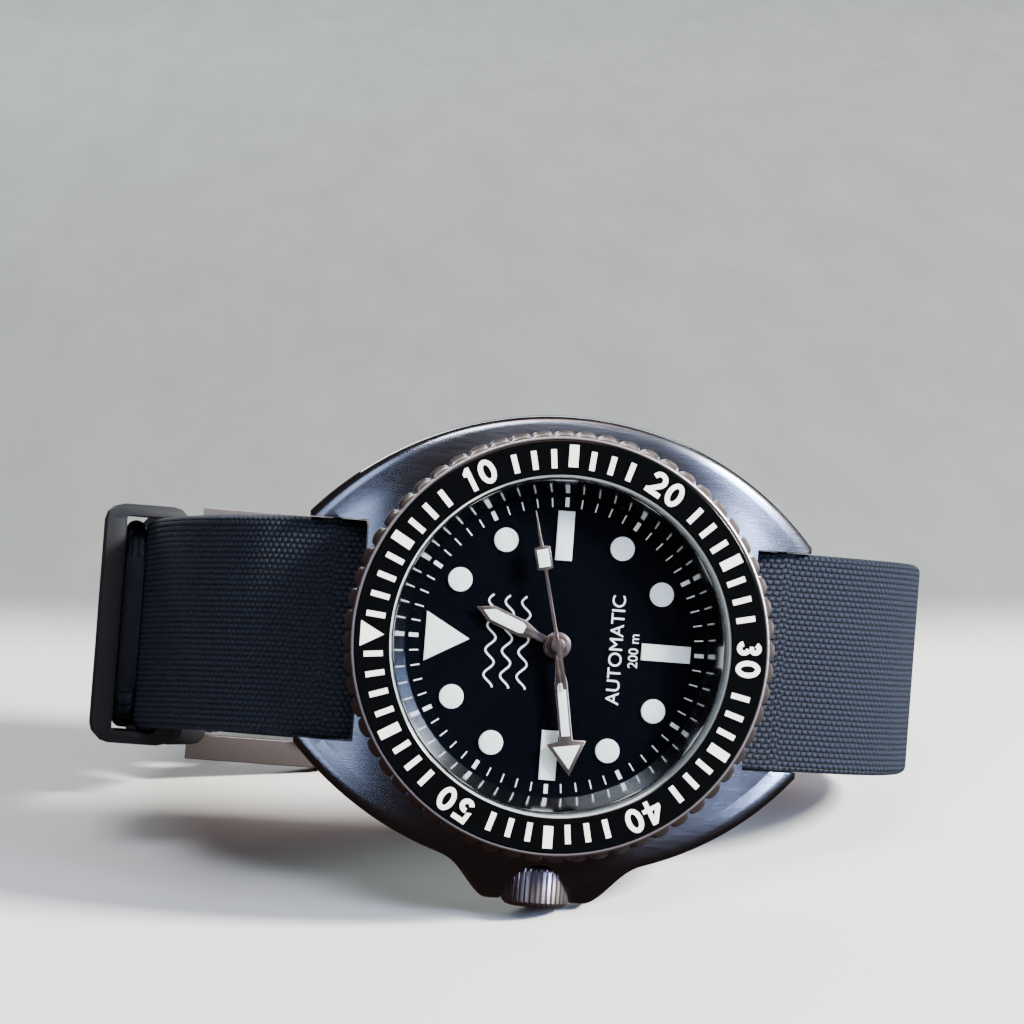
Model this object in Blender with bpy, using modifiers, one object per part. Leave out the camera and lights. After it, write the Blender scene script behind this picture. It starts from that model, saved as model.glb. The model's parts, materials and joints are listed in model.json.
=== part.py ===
"""Automatic dive watch on a closed two-piece strap, lying on its crown side.

The watch is modelled in its own frame: +X runs to 6 o'clock, +Y to 3 o'clock and +Z out of the
dial, with z = 0 on the outside of the case back.  The empty watch_stand then turns the whole
watch until it rests on its three lowest points, with its bounding box centred over the origin.
"""
import math

import bmesh
import bpy
from mathutils import Matrix, Vector

MM = 0.001

# Driving dimensions, in millimetres.
LUG_SPACING = 20.3            # between the inner lug faces
LUG_TO_LUG = 46.0
CASE_ARC_RADIUS = 31.0        # flank arcs of the case, seen from above
CASE_HALF_WIDTH = 20.8
CASE_BOTTOM = 1.0
CASE_TOP = 9.0
GUARD_REACH = 23.4            # crown guard, from the dial axis
CROWN_HEIGHT = 5.0            # crown axis above the case back
CROWN_RADIUS = 3.1
CROWN_TIP = 23.9
BEZEL_TIP_RADIUS = 19.45
BEZEL_VALLEY_RADIUS = 18.8
BEZEL_BUMPS = 60
INSERT_RADII = (15.35, 18.5)
CRYSTAL_RADIUS = 15.15
CRYSTAL_TOP = 12.9
CRYSTAL_THICKNESS = 2.4
DIAL_RADIUS = 14.3
DIAL_TOP = 7.9
MOVEMENT_RADIUS = 12.8
BAR_X = 20.5                  # spring bars, from the dial axis
BAR_Z = 3.6
STRAP_WIDTH = 20.0
STRAP_THICKNESS = 1.8
BUCKLE_BAR = (-31.2, -43.6)   # x and z of the buckle's bar
BUCKLE_WIDTH = 25.8
HOUR_ANGLE = 21.7             # hands, in degrees clockwise from 12
MINUTE_ANGLE = 260.65
SECOND_ANGLE = 76.3
STRAP_LEAN = 2.2              # how far the buckle sags towards the crown's side

# Colour, roughness and metallic of each finish.
FINISHES = {
    "steel": ((0.50, 0.52, 0.54), 0.35, 1.0),
    "polished": ((0.62, 0.63, 0.65), 0.12, 1.0),
    "black": ((0.012, 0.012, 0.014), 0.3, 0.0),
    "rubber": ((0.015, 0.015, 0.018), 0.55, 0.0),
    "strap": ((0.010, 0.014, 0.026), 0.8, 0.0),
    "glass": ((0.9, 0.92, 0.94), 0.03, 0.0),
    "dial": ((0.006, 0.008, 0.014), 0.35, 0.0),
    "brass": ((0.60, 0.42, 0.16), 0.3, 1.0),
    "nickel": ((0.55, 0.53, 0.48), 0.3, 1.0),
    "plastic": ((0.65, 0.65, 0.62), 0.5, 0.0),
    "hand": ((0.42, 0.36, 0.33), 0.15, 1.0),
    "blued": ((0.05, 0.09, 0.3), 0.25, 1.0),
}

for old in list(bpy.data.objects):
    bpy.data.objects.remove(old, do_unlink=True)

parts = bpy.data.collections.new("dive_watch")
cutters = bpy.data.collections.new("cutters")
bpy.context.scene.collection.children.link(parts)
bpy.context.scene.collection.children.link(cutters)


# --- small tools ------------------------------------------------------------------------------

def material(name, finish):
    """A plain material of one of the finishes above, for one sub-part."""
    colour, roughness, metallic = FINISHES[finish]
    made = bpy.data.materials.new(name + "_" + finish)
    made.use_nodes = True
    shader = made.node_tree.nodes["Principled BSDF"]
    shader.inputs["Base Color"].default_value = (*colour, 1.0)
    shader.inputs["Roughness"].default_value = roughness
    shader.inputs["Metallic"].default_value = metallic
    return made


def add(name, data, parent, finish):
    """Link a mesh or curve as a part, or as a cutter where finish is None."""
    made = bpy.data.objects.new(name, data)
    if finish is None:
        cutters.objects.link(made)
        made.hide_render = True
        made.display_type = 'WIRE'
    else:
        parts.objects.link(made)
        data.materials.append(material(name, finish))
    made.parent = parent
    return made


def empty(name, location, parent, rotation=(0.0, 0.0, 0.0)):
    made = bpy.data.objects.new(name, None)
    parts.objects.link(made)
    made.location = Vector(location) * MM
    made.rotation_euler = rotation
    made.parent = parent
    return made


def smooth(mesh, angle=35.0):
    mesh.shade_smooth()
    mesh.set_sharp_from_angle(angle=math.radians(angle))


def turned(name, profile, finish, parent, at=(0, 0, 0), along='Z', steps=48, ring=False):
    """Turn a profile of (radius, height) points that runs down its outer side."""
    mesh = bpy.data.meshes.new(name)
    edges = [(i, i + 1) for i in range(len(profile) - 1)]
    if ring:
        edges.append((len(profile) - 1, 0))
    mesh.from_pydata([(r * MM, 0.0, z * MM) for r, z in profile], edges, [])
    made = add(name, mesh, parent, finish)
    made.location = Vector(at) * MM
    made.rotation_euler = {'Z': (0, 0, 0), '-Y': (math.pi / 2, 0, 0), 'Y': (-math.pi / 2, 0, 0)}[along]
    screw = made.modifiers.new("turn", 'SCREW')
    screw.steps = steps
    screw.render_steps = steps
    screw.use_merge_vertices = True
    screw.merge_threshold = 0.000001
    screw.use_smooth_shade = True
    return made


def tube(name, inner, outer, low, high, finish, parent, **place):
    return turned(name, [(inner, high), (outer, high), (outer, low), (inner, low)], finish, parent,
                  ring=True, **place)


def rod(name, radius, low, high, finish, parent, **place):
    return turned(name, [(0, high), (radius, high), (radius, low), (0, low)], finish, parent, **place)


def box(name, low, high, finish, parent, turn=(0, 0, 0)):
    """A box between two corners, turned about its own centre."""
    mesh = bpy.data.meshes.new(name)
    shape = bmesh.new()
    bmesh.ops.create_cube(shape, size=1.0)
    size = (Vector(high) - Vector(low)) * MM
    bmesh.ops.scale(shape, vec=size, verts=shape.verts)
    shape.to_mesh(mesh)
    shape.free()
    made = add(name, mesh, parent, finish)
    made.location = (Vector(high) + Vector(low)) * MM / 2
    made.rotation_euler = turn
    return made


def flat(name, loops, low, high, finish, parent, at=(0, 0, 0), turn=(0, 0, 0)):
    """A flat piece between two heights: the first loop is its outline, the others are holes."""
    curve = bpy.data.curves.new(name, 'CURVE')
    curve.dimensions = '2D'
    curve.fill_mode = 'BOTH'
    curve.extrude = (high - low) / 2 * MM
    for loop in loops:
        spline = curve.splines.new('POLY')
        spline.points.add(len(loop) - 1)
        for point, (x, y) in zip(spline.points, loop):
            point.co = (x * MM, y * MM, 0.0, 1.0)
        spline.use_cyclic_u = True
    shape = bpy.data.objects.new(name, curve)
    parts.objects.link(shape)
    mesh = bpy.data.meshes.new_from_object(shape.evaluated_get(bpy.context.evaluated_depsgraph_get()))
    bpy.data.objects.remove(shape)
    bpy.data.curves.remove(curve)
    solid = bmesh.new()
    solid.from_mesh(mesh)
    bmesh.ops.translate(solid, vec=(0, 0, (high + low) / 2 * MM), verts=solid.verts)
    bmesh.ops.remove_doubles(solid, verts=solid.verts, dist=0.000001)
    bmesh.ops.recalc_face_normals(solid, faces=solid.faces)
    solid.to_mesh(mesh)
    solid.free()
    mesh.name = name
    smooth(mesh)
    made = add(name, mesh, parent, finish)
    made.location = Vector(at) * MM
    made.rotation_euler = turn
    return made


def boolean(target, others, operation):
    for other in others:
        cut = target.modifiers.new(other.name, 'BOOLEAN')
        cut.operation = operation
        cut.object = other
        cut.solver = 'EXACT'
    return target


def cut(target, *others):
    return boolean(target, others, 'DIFFERENCE')


def fuse(target, *others):
    return boolean(target, others, 'UNION')


def circle(radius, count=32, centre=(0, 0), start=0.0, end=360.0):
    """Points round a circle, or along an arc where end - start is under a turn."""
    whole = abs(end - start) >= 360.0
    steps = count if whole else count - 1
    angles = [math.radians(start + (end - start) * i / steps) for i in range(count)]
    return [(centre[0] + radius * math.cos(a), centre[1] + radius * math.sin(a)) for a in angles]


def rounded_rectangle(half_x, half_y, corner):
    points = []
    for start, sx, sy in ((0, 1, 1), (90, -1, 1), (180, -1, -1), (270, 1, -1)):
        centre = (sx * (half_x - corner), sy * (half_y - corner))
        points += circle(corner, 4, centre, start, start + 90)
    return points


def teeth(tip, root, count):
    """A toothed outline: each tooth has a flat tip and the gap beside it a flat root."""
    points = []
    for i in range(count):
        for share, radius in ((0.0, tip), (0.30, tip), (0.50, root), (0.80, root)):
            a = 2 * math.pi * (i + share) / count
            points.append((radius * math.cos(a), radius * math.sin(a)))
    return points


def smooth_path(guides, count):
    """Catmull-Rom curve through the guide points, with count points on each stretch."""
    ends = [tuple(2 * a - b for a, b in zip(guides[0], guides[1]))] + list(guides)
    ends.append(tuple(2 * a - b for a, b in zip(guides[-1], guides[-2])))
    points = []
    for p0, p1, p2, p3 in zip(ends, ends[1:], ends[2:], ends[3:]):
        for i in range(count):
            t = i / count
            points.append(tuple(
                0.5 * (2 * b + (c - a) * t + (2 * a - 5 * b + 4 * c - d) * t ** 2
                       + (3 * b - a - 3 * c + d) * t ** 3)
                for a, b, c, d in zip(p0, p1, p2, p3)))
    return points + [tuple(guides[-1])]


def directions(path):
    """Unit direction of a path at each of its points."""
    made = []
    for i in range(len(path)):
        a = Vector(path[max(i - 1, 0)])
        b = Vector(path[min(i + 1, len(path) - 1)])
        made.append((b - a).normalized())
    return made


def offset(path, distance):
    """The path moved to its left by a distance."""
    return [(p[0] - d.y * distance, p[1] + d.x * distance) for p, d in zip(path, directions(path))]


# --- stand and moving frames ------------------------------------------------------------------

stand = empty("watch_stand", (0, 0, 0), None)
crown_axis = empty("crown_axis", (0, -CROWN_TIP, CROWN_HEIGHT), stand)


# --- case -------------------------------------------------------------------------------------

def flank(x):
    """Half width of the case at x, on the side without the crown."""
    return math.sqrt(CASE_ARC_RADIUS ** 2 - x * x) - (CASE_ARC_RADIUS - CASE_HALF_WIDTH)


def guarded_flank(x):
    """Half width on the crown's side, where the crown guard stands out."""
    full, gone = 4.4, 10.0
    share = min(max((gone - abs(x)) / (gone - full), 0.0), 1.0)
    share = (share * share * (3 - 2 * share)) ** 2
    return flank(x) + (GUARD_REACH - flank(x)) * share


def case_top(x):
    """The top falls away towards the lug tips."""
    level, tip_drop = 8.0, 3.0
    return CASE_TOP - tip_drop * (max(abs(x) - level, 0.0) / (LUG_TO_LUG / 2 - level)) ** 2


def case_bottom(x):
    level, tip_rise = 16.0, 0.6
    return CASE_BOTTOM + tip_rise * (max(abs(x) - level, 0.0) / (LUG_TO_LUG / 2 - level)) ** 2


def case_loft():
    """The case before it is cut: bevelled stacked outlines, narrower at the top and bottom."""
    tip = LUG_TO_LUG / 2
    stations = [tip * math.sin(math.radians(-90 + 180 * i / 26)) for i in range(27)]
    stations = sorted(set(round(x, 4) for x in stations + [-10, -8.4, -7.2, -6.2, -5.2, -4.4,
                                                           4.4, 5.2, 6.2, 7.2, 8.4, 10]))
    bevel, shoulder = 0.9, 1.3
    levels = ((case_bottom, 0.0, bevel), (case_bottom, bevel, 0.0),
              (case_top, -shoulder, 0.0), (case_top, 0.0, bevel))
    shape = bmesh.new()
    rings = []
    for height, lift, inset in levels:
        squeeze = (tip - inset) / tip
        upper = [shape.verts.new((x * squeeze * MM, (flank(x) - inset) * MM,
                                  (height(x) + lift) * MM)) for x in stations]
        lower = [shape.verts.new((x * squeeze * MM, -(guarded_flank(x) - inset) * MM,
                                  (height(x) + lift) * MM)) for x in stations]
        rings.append((upper, lower))
    for upper, lower in (rings[0], rings[-1]):
        for i in range(len(stations) - 1):
            shape.faces.new((upper[i], upper[i + 1], lower[i + 1], lower[i]))
    for (upper_a, lower_a), (upper_b, lower_b) in zip(rings, rings[1:]):
        loop_a = upper_a + lower_a[::-1]
        loop_b = upper_b + lower_b[::-1]
        for i in range(len(loop_a)):
            j = (i + 1) % len(loop_a)
            shape.faces.new((loop_a[i], loop_a[j], loop_b[j], loop_b[i]))
    bmesh.ops.triangulate(shape, faces=shape.faces)
    bmesh.ops.recalc_face_normals(shape, faces=shape.faces)
    mesh = bpy.data.meshes.new("case_body")
    shape.to_mesh(mesh)
    shape.free()
    return mesh


def guard_slope(name, y, z, degrees):
    """Cuts the crown guard above a plane that falls outwards from (y, z), or below a rising one."""
    slope = math.radians(degrees)
    side = math.copysign(2.0, degrees)
    cutter = box(name, (-12, -5, -2), (12, 5, 2), None, stand, (slope, 0, 0))
    cutter.location = Vector((0, y - math.sin(slope) * side - 3, z + math.cos(slope) * side
                              - math.tan(slope) * 3)) * MM
    return cutter


def make_case_body():
    case = add("case_body", case_loft(), stand, "steel")
    neck = rod("case_neck", 16.3, 6.0, 11.75, None, stand, steps=48)
    cavity = turned("case_cavity", [(0, 13.0), (15.6, 13.0), (15.6, 10.4), (15.35, 10.4),
                                    (15.35, 7.92), (14.45, 7.92), (14.45, 2.45), (17.2, 2.45),
                                    (17.2, 0.0), (0, 0.0)], None, stand, steps=48)
    gaps = [box("lug_gap_%d" % side, (min(side * 18.4, side * 26), -LUG_SPACING / 2, -1),
                (max(side * 18.4, side * 26), LUG_SPACING / 2, 12), None, stand) for side in (-1, 1)]
    guard_slopes = [guard_slope("guard_top_inner", -19.5, 8.25, 22),
                    guard_slope("guard_top_outer", -21.5, 7.4, 42),
                    guard_slope("guard_under", -20.8, 1.0, -35)]
    crown_room = rod("crown_room", 3.55, 0.0, 6.0, None, stand, at=(0, -19.9, CROWN_HEIGHT),
                     along='-Y', steps=40)
    tube_room = rod("tube_room", 1.27, 0.0, 8.0, None, stand, at=(0, -13.0, CROWN_HEIGHT),
                    along='-Y', steps=24)
    bars = [rod("bar_room_%d" % side, 0.55, -11.7, 11.7, None, stand, at=(side * BAR_X, 0, BAR_Z),
                along='Y', steps=16) for side in (-1, 1)]
    fuse(case, neck)
    cut(case, cavity, *gaps, *guard_slopes, crown_room, tube_room, *bars)


def make_case_back():
    back = turned("case_back", [(0, 1.1), (13.9, 1.1), (14.2, 2.3), (15.3, 2.3), (15.3, 1.6),
                                (16.3, 1.6), (16.3, 2.3), (17.05, 2.3), (17.05, 0.9), (16.6, 0.5),
                                (15.0, 0.0), (0, 0.0)], "steel", stand, steps=48)
    notches = []
    for i in range(6):
        a = math.radians(60 * i + 30)
        notch = box("wrench_notch_%d" % i, (-0.9, -1.2, -0.6), (0.9, 1.2, 0.7), None, stand, (0, 0, a))
        notch.location = Vector((16.4 * math.cos(a), 16.4 * math.sin(a), 0.05)) * MM
        notches.append(notch)
    cut(back, *notches)
    tube("case_back_gasket", 15.4, 16.22, 1.68, 2.38, "rubber", stand, steps=36)


def make_crystal():
    bottom = CRYSTAL_TOP - CRYSTAL_THICKNESS
    turned("crystal", [(0, CRYSTAL_TOP), (14.8, CRYSTAL_TOP), (CRYSTAL_RADIUS, CRYSTAL_TOP - 0.35),
                       (CRYSTAL_RADIUS, bottom), (0, bottom)], "glass", stand, steps=48)
    tube("crystal_gasket", CRYSTAL_RADIUS + 0.06, 15.53, bottom, 11.8, "plastic", stand, steps=48)
    turned("rehaut_ring", [(14.95, 10.4), (15.28, 10.4), (15.28, 7.98), (13.75, 7.98)],
           "polished", stand, steps=48, ring=True)


def ring_points(shape, radii, height):
    """Vertices round the dial axis at one height, one for each radius."""
    turn = 2 * math.pi / len(radii)
    return [shape.verts.new((r * math.cos(turn * i) * MM, r * math.sin(turn * i) * MM, height * MM))
            for i, r in enumerate(radii)]


def band(shape, upper, lower):
    """Faces between two rings; the lower one may have fewer points by a whole factor."""
    step = len(upper) // len(lower)
    for i in range(len(lower)):
        k = (i + 1) % len(lower)
        run = [upper[(i * step + j) % len(upper)] for j in range(step + 1)]
        shape.faces.new(run + [lower[k], lower[i]])


def make_bezel():
    """Bezel ring with rounded grip bumps all round, its insert, click spring and gasket."""
    bulges = [0.0, 0.94, 0.94]
    rim = [BEZEL_VALLEY_RADIUS + (BEZEL_TIP_RADIUS - BEZEL_VALLEY_RADIUS) * b / 0.94
           for b in bulges] * BEZEL_BUMPS
    inner_profile = ((18.05, 9.25), (18.05, 9.8), (16.95, 9.8), (16.95, 10.95), (16.45, 10.95),
                     (16.45, 11.8), (18.55, 11.8), (18.55, 12.35))
    shape = bmesh.new()
    outer = [ring_points(shape, [18.75] * len(rim), 12.35), ring_points(shape, rim, 11.6),
             ring_points(shape, rim, 9.75), ring_points(shape, [18.4] * len(rim), 9.25)]
    inner = [ring_points(shape, [r] * BEZEL_BUMPS, z) for r, z in inner_profile]
    for upper, lower in zip(outer, outer[1:]):
        band(shape, upper, lower)
    band(shape, outer[-1], inner[0])
    for upper, lower in zip(inner, inner[1:]):
        band(shape, upper, lower)
    band(shape, outer[0], inner[-1])
    bmesh.ops.recalc_face_normals(shape, faces=shape.faces)
    mesh = bpy.data.meshes.new("bezel_ring")
    shape.to_mesh(mesh)
    shape.free()
    smooth(mesh)
    add("bezel_ring", mesh, stand, "polished")
    inner_radius, outer_radius = INSERT_RADII
    turned("bezel_insert", [(inner_radius, 12.5), (outer_radius - 0.1, 12.5), (outer_radius, 12.42),
                            (outer_radius, 11.88), (inner_radius, 11.88)], "black", stand,
           steps=48, ring=True)
    tube("bezel_gasket", 16.4, 16.86, 10.26, 10.88, "rubber", stand, steps=40)
    spring = flat("bezel_click_spring", [circle(17.9, 40), circle(16.4, 40)], 9.06, 9.22,
                  "steel", stand)
    tongues = []
    for i in range(3):
        a = math.radians(120 * i + 40)
        tongue = box("click_tongue_%d" % i, (-0.45, -1.6, -0.1), (0.45, 1.6, 0.1), None, stand)
        tongue.location = Vector((17.2 * math.cos(a), 17.2 * math.sin(a), 9.40)) * MM
        lean = Matrix.Rotation(a, 3, 'Z') @ Matrix.Rotation(math.radians(12), 3, 'X')
        tongue.rotation_euler = lean.to_euler()
        tongues.append(tongue)
    fuse(spring, *tongues)


def make_crown():
    """Fluted screw-down crown with its stem, tube and gasket, all on the crown's axis."""
    mouth = CROWN_TIP - 20.2
    flutes = 28
    grip = teeth(CROWN_RADIUS, CROWN_RADIUS - 0.16, flutes)
    crown = flat("crown", [grip], 0.35, mouth, "steel", crown_axis, turn=(-math.pi / 2, 0, 0))
    cap = turned("crown_cap", [(0, 0.5), (CROWN_RADIUS - 0.2, 0.5), (CROWN_RADIUS - 0.3, 0.15),
                               (1.6, 0.0), (0, 0.0)], None, crown_axis, along='Y', steps=28)
    bore = rod("crown_bore", 1.62, 1.7, mouth + 0.5, None, crown_axis, along='Y', steps=24)
    fuse(crown, cap)
    cut(crown, bore)
    rod("winding_stem", 0.55, 1.75, CROWN_TIP - 8.7, "steel", crown_axis, along='Y', steps=20)
    tube("crown_gasket", 1.26, 1.56, CROWN_TIP - 20.9, CROWN_TIP - 20.3, "rubber", crown_axis,
         along='Y', steps=24)
    tube("crown_tube", 0.75, 1.2, CROWN_TIP - 21.2, CROWN_TIP - 14.6, "steel", crown_axis,
         along='Y', steps=24)
    tube("sliding_pinion", 0.65, 1.05, CROWN_TIP - 10.6, CROWN_TIP - 9.2, "steel", crown_axis,
         along='Y', steps=20)


# --- dial and hands ---------------------------------------------------------------------------

def hand(name, angle, low, high, boss, hole, blade, tail=()):
    """A hand along its own +X: pairs of distance and half width, with a round boss."""
    start = math.degrees(math.asin(blade[0][1] / boss))
    upper = [(x, w) for x, w in blade[1:]]
    loop = [(x, -w) for x, w in upper] + [(x, w) for x, w in upper[::-1] if w > 0.0]
    if tail:
        back = math.degrees(math.asin(tail[0][1] / boss))
        loop += circle(boss, 8, start=start, end=180 - back)
        loop += [(-x, w) for x, w in tail[1:]] + [(-x, -w) for x, w in tail[:0:-1]]
        loop += circle(boss, 8, start=180 + back, end=360 - start)
    else:
        loop += circle(boss, 16, start=start, end=360 - start)
    loops = [loop] + ([circle(hole, 16)] if hole else [])
    return flat(name, loops, low, high, "hand", stand, turn=(0, 0, math.radians(180 - angle)))


def make_dial_and_hands():
    tube("dial", 1.0, DIAL_RADIUS, DIAL_TOP - 0.4, DIAL_TOP, "dial", stand, steps=48)
    hand("hour_hand", HOUR_ANGLE, 8.45, 8.62, 1.25, 0.9,
         ((0, 0.35), (2.2, 0.38), (3.4, 0.78), (6.6, 0.78), (8.1, 0.0)))
    hand("minute_hand", MINUTE_ANGLE, 8.92, 9.08, 1.1, 0.64,
         ((0, 0.35), (2.2, 0.38), (3.4, 0.58), (8.6, 0.58), (8.8, 1.8), (11.8, 0.0)))
    hand("second_hand", SECOND_ANGLE, 9.45, 9.6, 0.63, 0.0,
         ((0, 0.15), (6.9, 0.15), (7.0, 0.72), (9.0, 0.72), (9.1, 0.15), (12.35, 0.05)),
         ((0, 0.2), (4.0, 0.2)))


# --- movement ---------------------------------------------------------------------------------

# Plan positions of the wheels' axes, placed so that each pair of wheels meets at its tip circles.
BARREL_AT = (-6.3, -4.75)
GREAT_AT = (-0.80, -5.45)
THIRD_AT = (1.68, -2.9)
ESCAPE_AT = (3.34, 1.21)
PALLET_AT = (5.6, 2.1)
BALANCE_AT = (8.3, 3.0)
MINUTE_WHEEL_AT = (-2.45, 2.45)
CROWN_WHEEL_AT = (-4.5, -9.45)
LEVER_AT = (3.4, -9.4)


def wheel(name, at, arbor, wheels, finish="brass"):
    """Toothed wheels on one arbor: arbor is (radius, low, high); each wheel (tip, teeth, low, high)."""
    place = (at[0], at[1], 0)
    (tip, count, low, high), *rest = wheels
    made = flat(name, [teeth(tip, tip - 0.22, count)], low, high, finish, stand, at=place)
    radius, bottom, top = arbor
    spindle = rod(name + "_arbor", radius, bottom, top, None, stand, at=place, steps=12)
    extra = [flat("%s_pinion_%d" % (name, i), [teeth(t, t - 0.18, n)], a, b, None, stand, at=place)
             for i, (t, n, a, b) in enumerate(rest)]
    return fuse(made, spindle, *extra)


def hollow_wheel(name, tube_radii, top, tip, count, low, high):
    """A toothed wheel with a tube standing on it, open right through."""
    inner, outer = tube_radii
    made = flat(name, [teeth(tip, tip - 0.2, count), circle(inner, 16)], low, high, "brass", stand)
    sleeve = tube(name + "_sleeve", inner, outer, (low + high) / 2, top, None, stand, steps=16)
    return fuse(made, sleeve)


def make_train():
    hollow_wheel("cannon_pinion", (0.28, 0.6), 9.25, 1.0, 8, 6.72, 6.95)
    hollow_wheel("hour_wheel", (0.66, 0.85), 8.66, 2.8, 18, 7.06, 7.22)
    wheel("minute_wheel", MINUTE_WHEEL_AT, (0.2, 6.66, 7.4),
          ((2.4, 16, 6.72, 6.95), (0.6, 8, 7.02, 7.3)))
    wheel("mainspring_barrel", BARREL_AT, (4.3, 4.2, 5.2), ((4.6, 26, 5.1, 5.5), (0.6, 8, 3.4, 4.3)))
    wheel("great_wheel", GREAT_AT, (0.25, 3.42, 5.62), ((2.9, 18, 3.8, 4.0), (0.9, 10, 5.1, 5.5)))
    wheel("third_wheel", THIRD_AT, (0.2, 3.42, 5.62), ((2.6, 16, 4.8, 5.0), (0.6, 8, 3.7, 4.1)))
    wheel("fourth_wheel", (0, 0), (0.2, 3.4, 9.4), ((3.0, 18, 3.45, 3.6), (0.7, 10, 4.65, 5.15)))
    wheel("escape_wheel", ESCAPE_AT, (0.2, 3.42, 5.62), ((2.0, 12, 4.5, 4.65), (0.5, 7, 3.44, 3.68)),
          "steel")
    wheel("ratchet_wheel", BARREL_AT, (0.4, 2.45, 2.82), ((3.4, 20, 2.5, 2.8),), "steel")
    wheel("crown_wheel", CROWN_WHEEL_AT, (0.4, 2.45, 2.82), ((1.6, 10, 2.5, 2.8),), "steel")


def make_escapement():
    fork_at = (PALLET_AT[0], PALLET_AT[1], 0)
    heading = math.atan2(BALANCE_AT[1] - PALLET_AT[1], BALANCE_AT[0] - PALLET_AT[0])
    outline = [(2.2, -0.35), (2.2, -0.12), (1.9, -0.12), (1.9, 0.12), (2.2, 0.12), (2.2, 0.35),
               (1.6, 0.3), (0.3, 0.14), (0.05, 0.9), (-0.4, 1.2), (-0.45, 0.95), (-0.3, 0.4),
               (-0.3, -0.4), (-0.45, -0.95), (-0.4, -1.2), (0.05, -0.9), (0.3, -0.14), (1.6, -0.3)]
    fork = flat("pallet_fork", [outline[::-1]], 4.48, 4.68, "steel", stand, at=fork_at,
                turn=(0, 0, heading))
    fuse(fork, rod("pallet_arbor", 0.15, 4.3, 5.62, None, stand, at=fork_at, steps=12))
    place = (BALANCE_AT[0], BALANCE_AT[1], 0)
    windows = [circle(3.3, 14, start=12, end=168) + [(-0.9, 0.65), (0.9, 0.65)],
               circle(3.3, 14, start=192, end=348) + [(0.9, -0.65), (-0.9, -0.65)]]
    balance = flat("balance_wheel", [circle(3.8, 40)] + windows, 3.95, 4.2, "brass", stand, at=place)
    fuse(balance, rod("balance_staff", 0.22, 3.42, 5.62, None, stand, at=place, steps=12))
    coil = bpy.data.curves.new("hairspring", 'CURVE')
    coil.dimensions = '3D'
    coil.bevel_depth = 0.07 * MM
    coil.bevel_resolution = 0
    coil.use_fill_caps = True
    turns, per_turn = 3.0, 14
    count = int(turns * per_turn) + 1
    spline = coil.splines.new('POLY')
    spline.points.add(count - 1)
    for i, point in enumerate(spline.points):
        a = 2 * math.pi * i / per_turn
        radius = 0.55 + 1.9 * i / (count - 1)
        point.co = (radius * math.cos(a) * MM, radius * math.sin(a) * MM, 3.7 * MM, 1.0)
    spring = add("hairspring", coil, stand, "blued")
    spring.location = Vector(place) * MM
    cock = flat("balance_cock", [circle(1.5, 12, (BALANCE_AT[0], BALANCE_AT[1]), 0, 180)
                                 + circle(1.9, 12, (8.6, -6.0), 180, 360)], 2.9, 3.35, "nickel", stand)
    fuse(cock, rod("cock_foot", 1.3, 3.2, 5.64, None, stand, at=(8.6, -5.6, 0), steps=20))


def make_plates():
    plate = rod("main_plate", MOVEMENT_RADIUS, 5.7, 7.4, "brass", stand, steps=48)
    cut(plate, rod("motion_pocket", 6.4, 6.6, 8.0, None, stand, steps=40),
        rod("plate_centre", 0.5, 5.0, 7.0, None, stand, steps=16),
        box("keyless_pocket", (-1.6, -14.0, 5.0), (1.6, -8.2, 6.4), None, stand))
    ring = tube("movement_holder", 12.92, 14.35, 3.9, 7.42, "plastic", stand, steps=48)
    cut(ring, box("stem_slot", (-1.0, -15.5, 3.6), (1.0, -12.0, 6.2), None, stand))
    for i, degrees in enumerate((60, 240)):
        a = math.radians(degrees)
        place = (13.6 * math.cos(a), 13.6 * math.sin(a), 0)
        cut(ring, rod("clamp_room_%d" % i, 0.45, 3.6, 5.4, None, stand, at=place, steps=12))
        turned("clamp_screw_%d" % (i + 1), [(0, 5.2), (0.36, 5.2), (0.36, 3.82), (0.75, 3.82),
                                            (0.75, 3.3), (0, 3.3)], "blued", stand, at=place, steps=16)
    edge = 12.4
    split = -2.9
    reach = math.degrees(math.acos(-split / edge))
    flat("barrel_bridge", [circle(edge, 32, start=180 - reach, end=180 + reach)], 2.9, 3.35,
         "nickel", stand)
    train_side = [(4.9, -3.0), (5.2, 0.0), (4.9, 3.4), (-2.6, 3.4)]
    flat("train_bridge", [circle(edge, 12, start=282.5, end=292) + train_side], 2.9, 3.35, "nickel",
         stand)
    lever_at = (LEVER_AT[0], LEVER_AT[1], 0)
    lever_arm = circle(0.8, 10, start=-60, end=120) + [(-2.6, -1.3), (-2.8, -2.0), (-2.1, -2.1)]
    lever = flat("setting_lever", [lever_arm], 3.98, 4.26, "steel", stand, at=lever_at)
    fuse(lever, rod("lever_stud", 0.4, 4.1, 5.6, None, stand, at=lever_at, steps=12))


def make_rotor():
    """Winding rotor: a thin half disc with a heavy rim, on a bearing in the middle."""
    reach = 88
    rotor = flat("rotor", [circle(12.4, 20, start=-reach, end=reach) + circle(2.4, 10, start=100, end=260),
                           circle(1.6, 20)], 1.85, 2.15, "steel", stand, turn=(0, 0, math.radians(200)))
    weight = flat("rotor_weight", [circle(12.4, 20, start=-reach, end=reach)
                                   + circle(9.8, 16, start=reach, end=-reach)], 1.35, 2.3, None, stand,
                  turn=(0, 0, math.radians(200)))
    fuse(rotor, weight)
    tube("rotor_bearing", 0.76, 1.52, 1.7, 2.84, "steel", stand, steps=28)
    turned("rotor_screw", [(0, 2.8), (0.66, 2.8), (0.66, 1.64), (1.1, 1.64), (1.1, 1.36), (0, 1.36)],
           "blued", stand, steps=20)


# --- strap ------------------------------------------------------------------------------------

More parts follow.
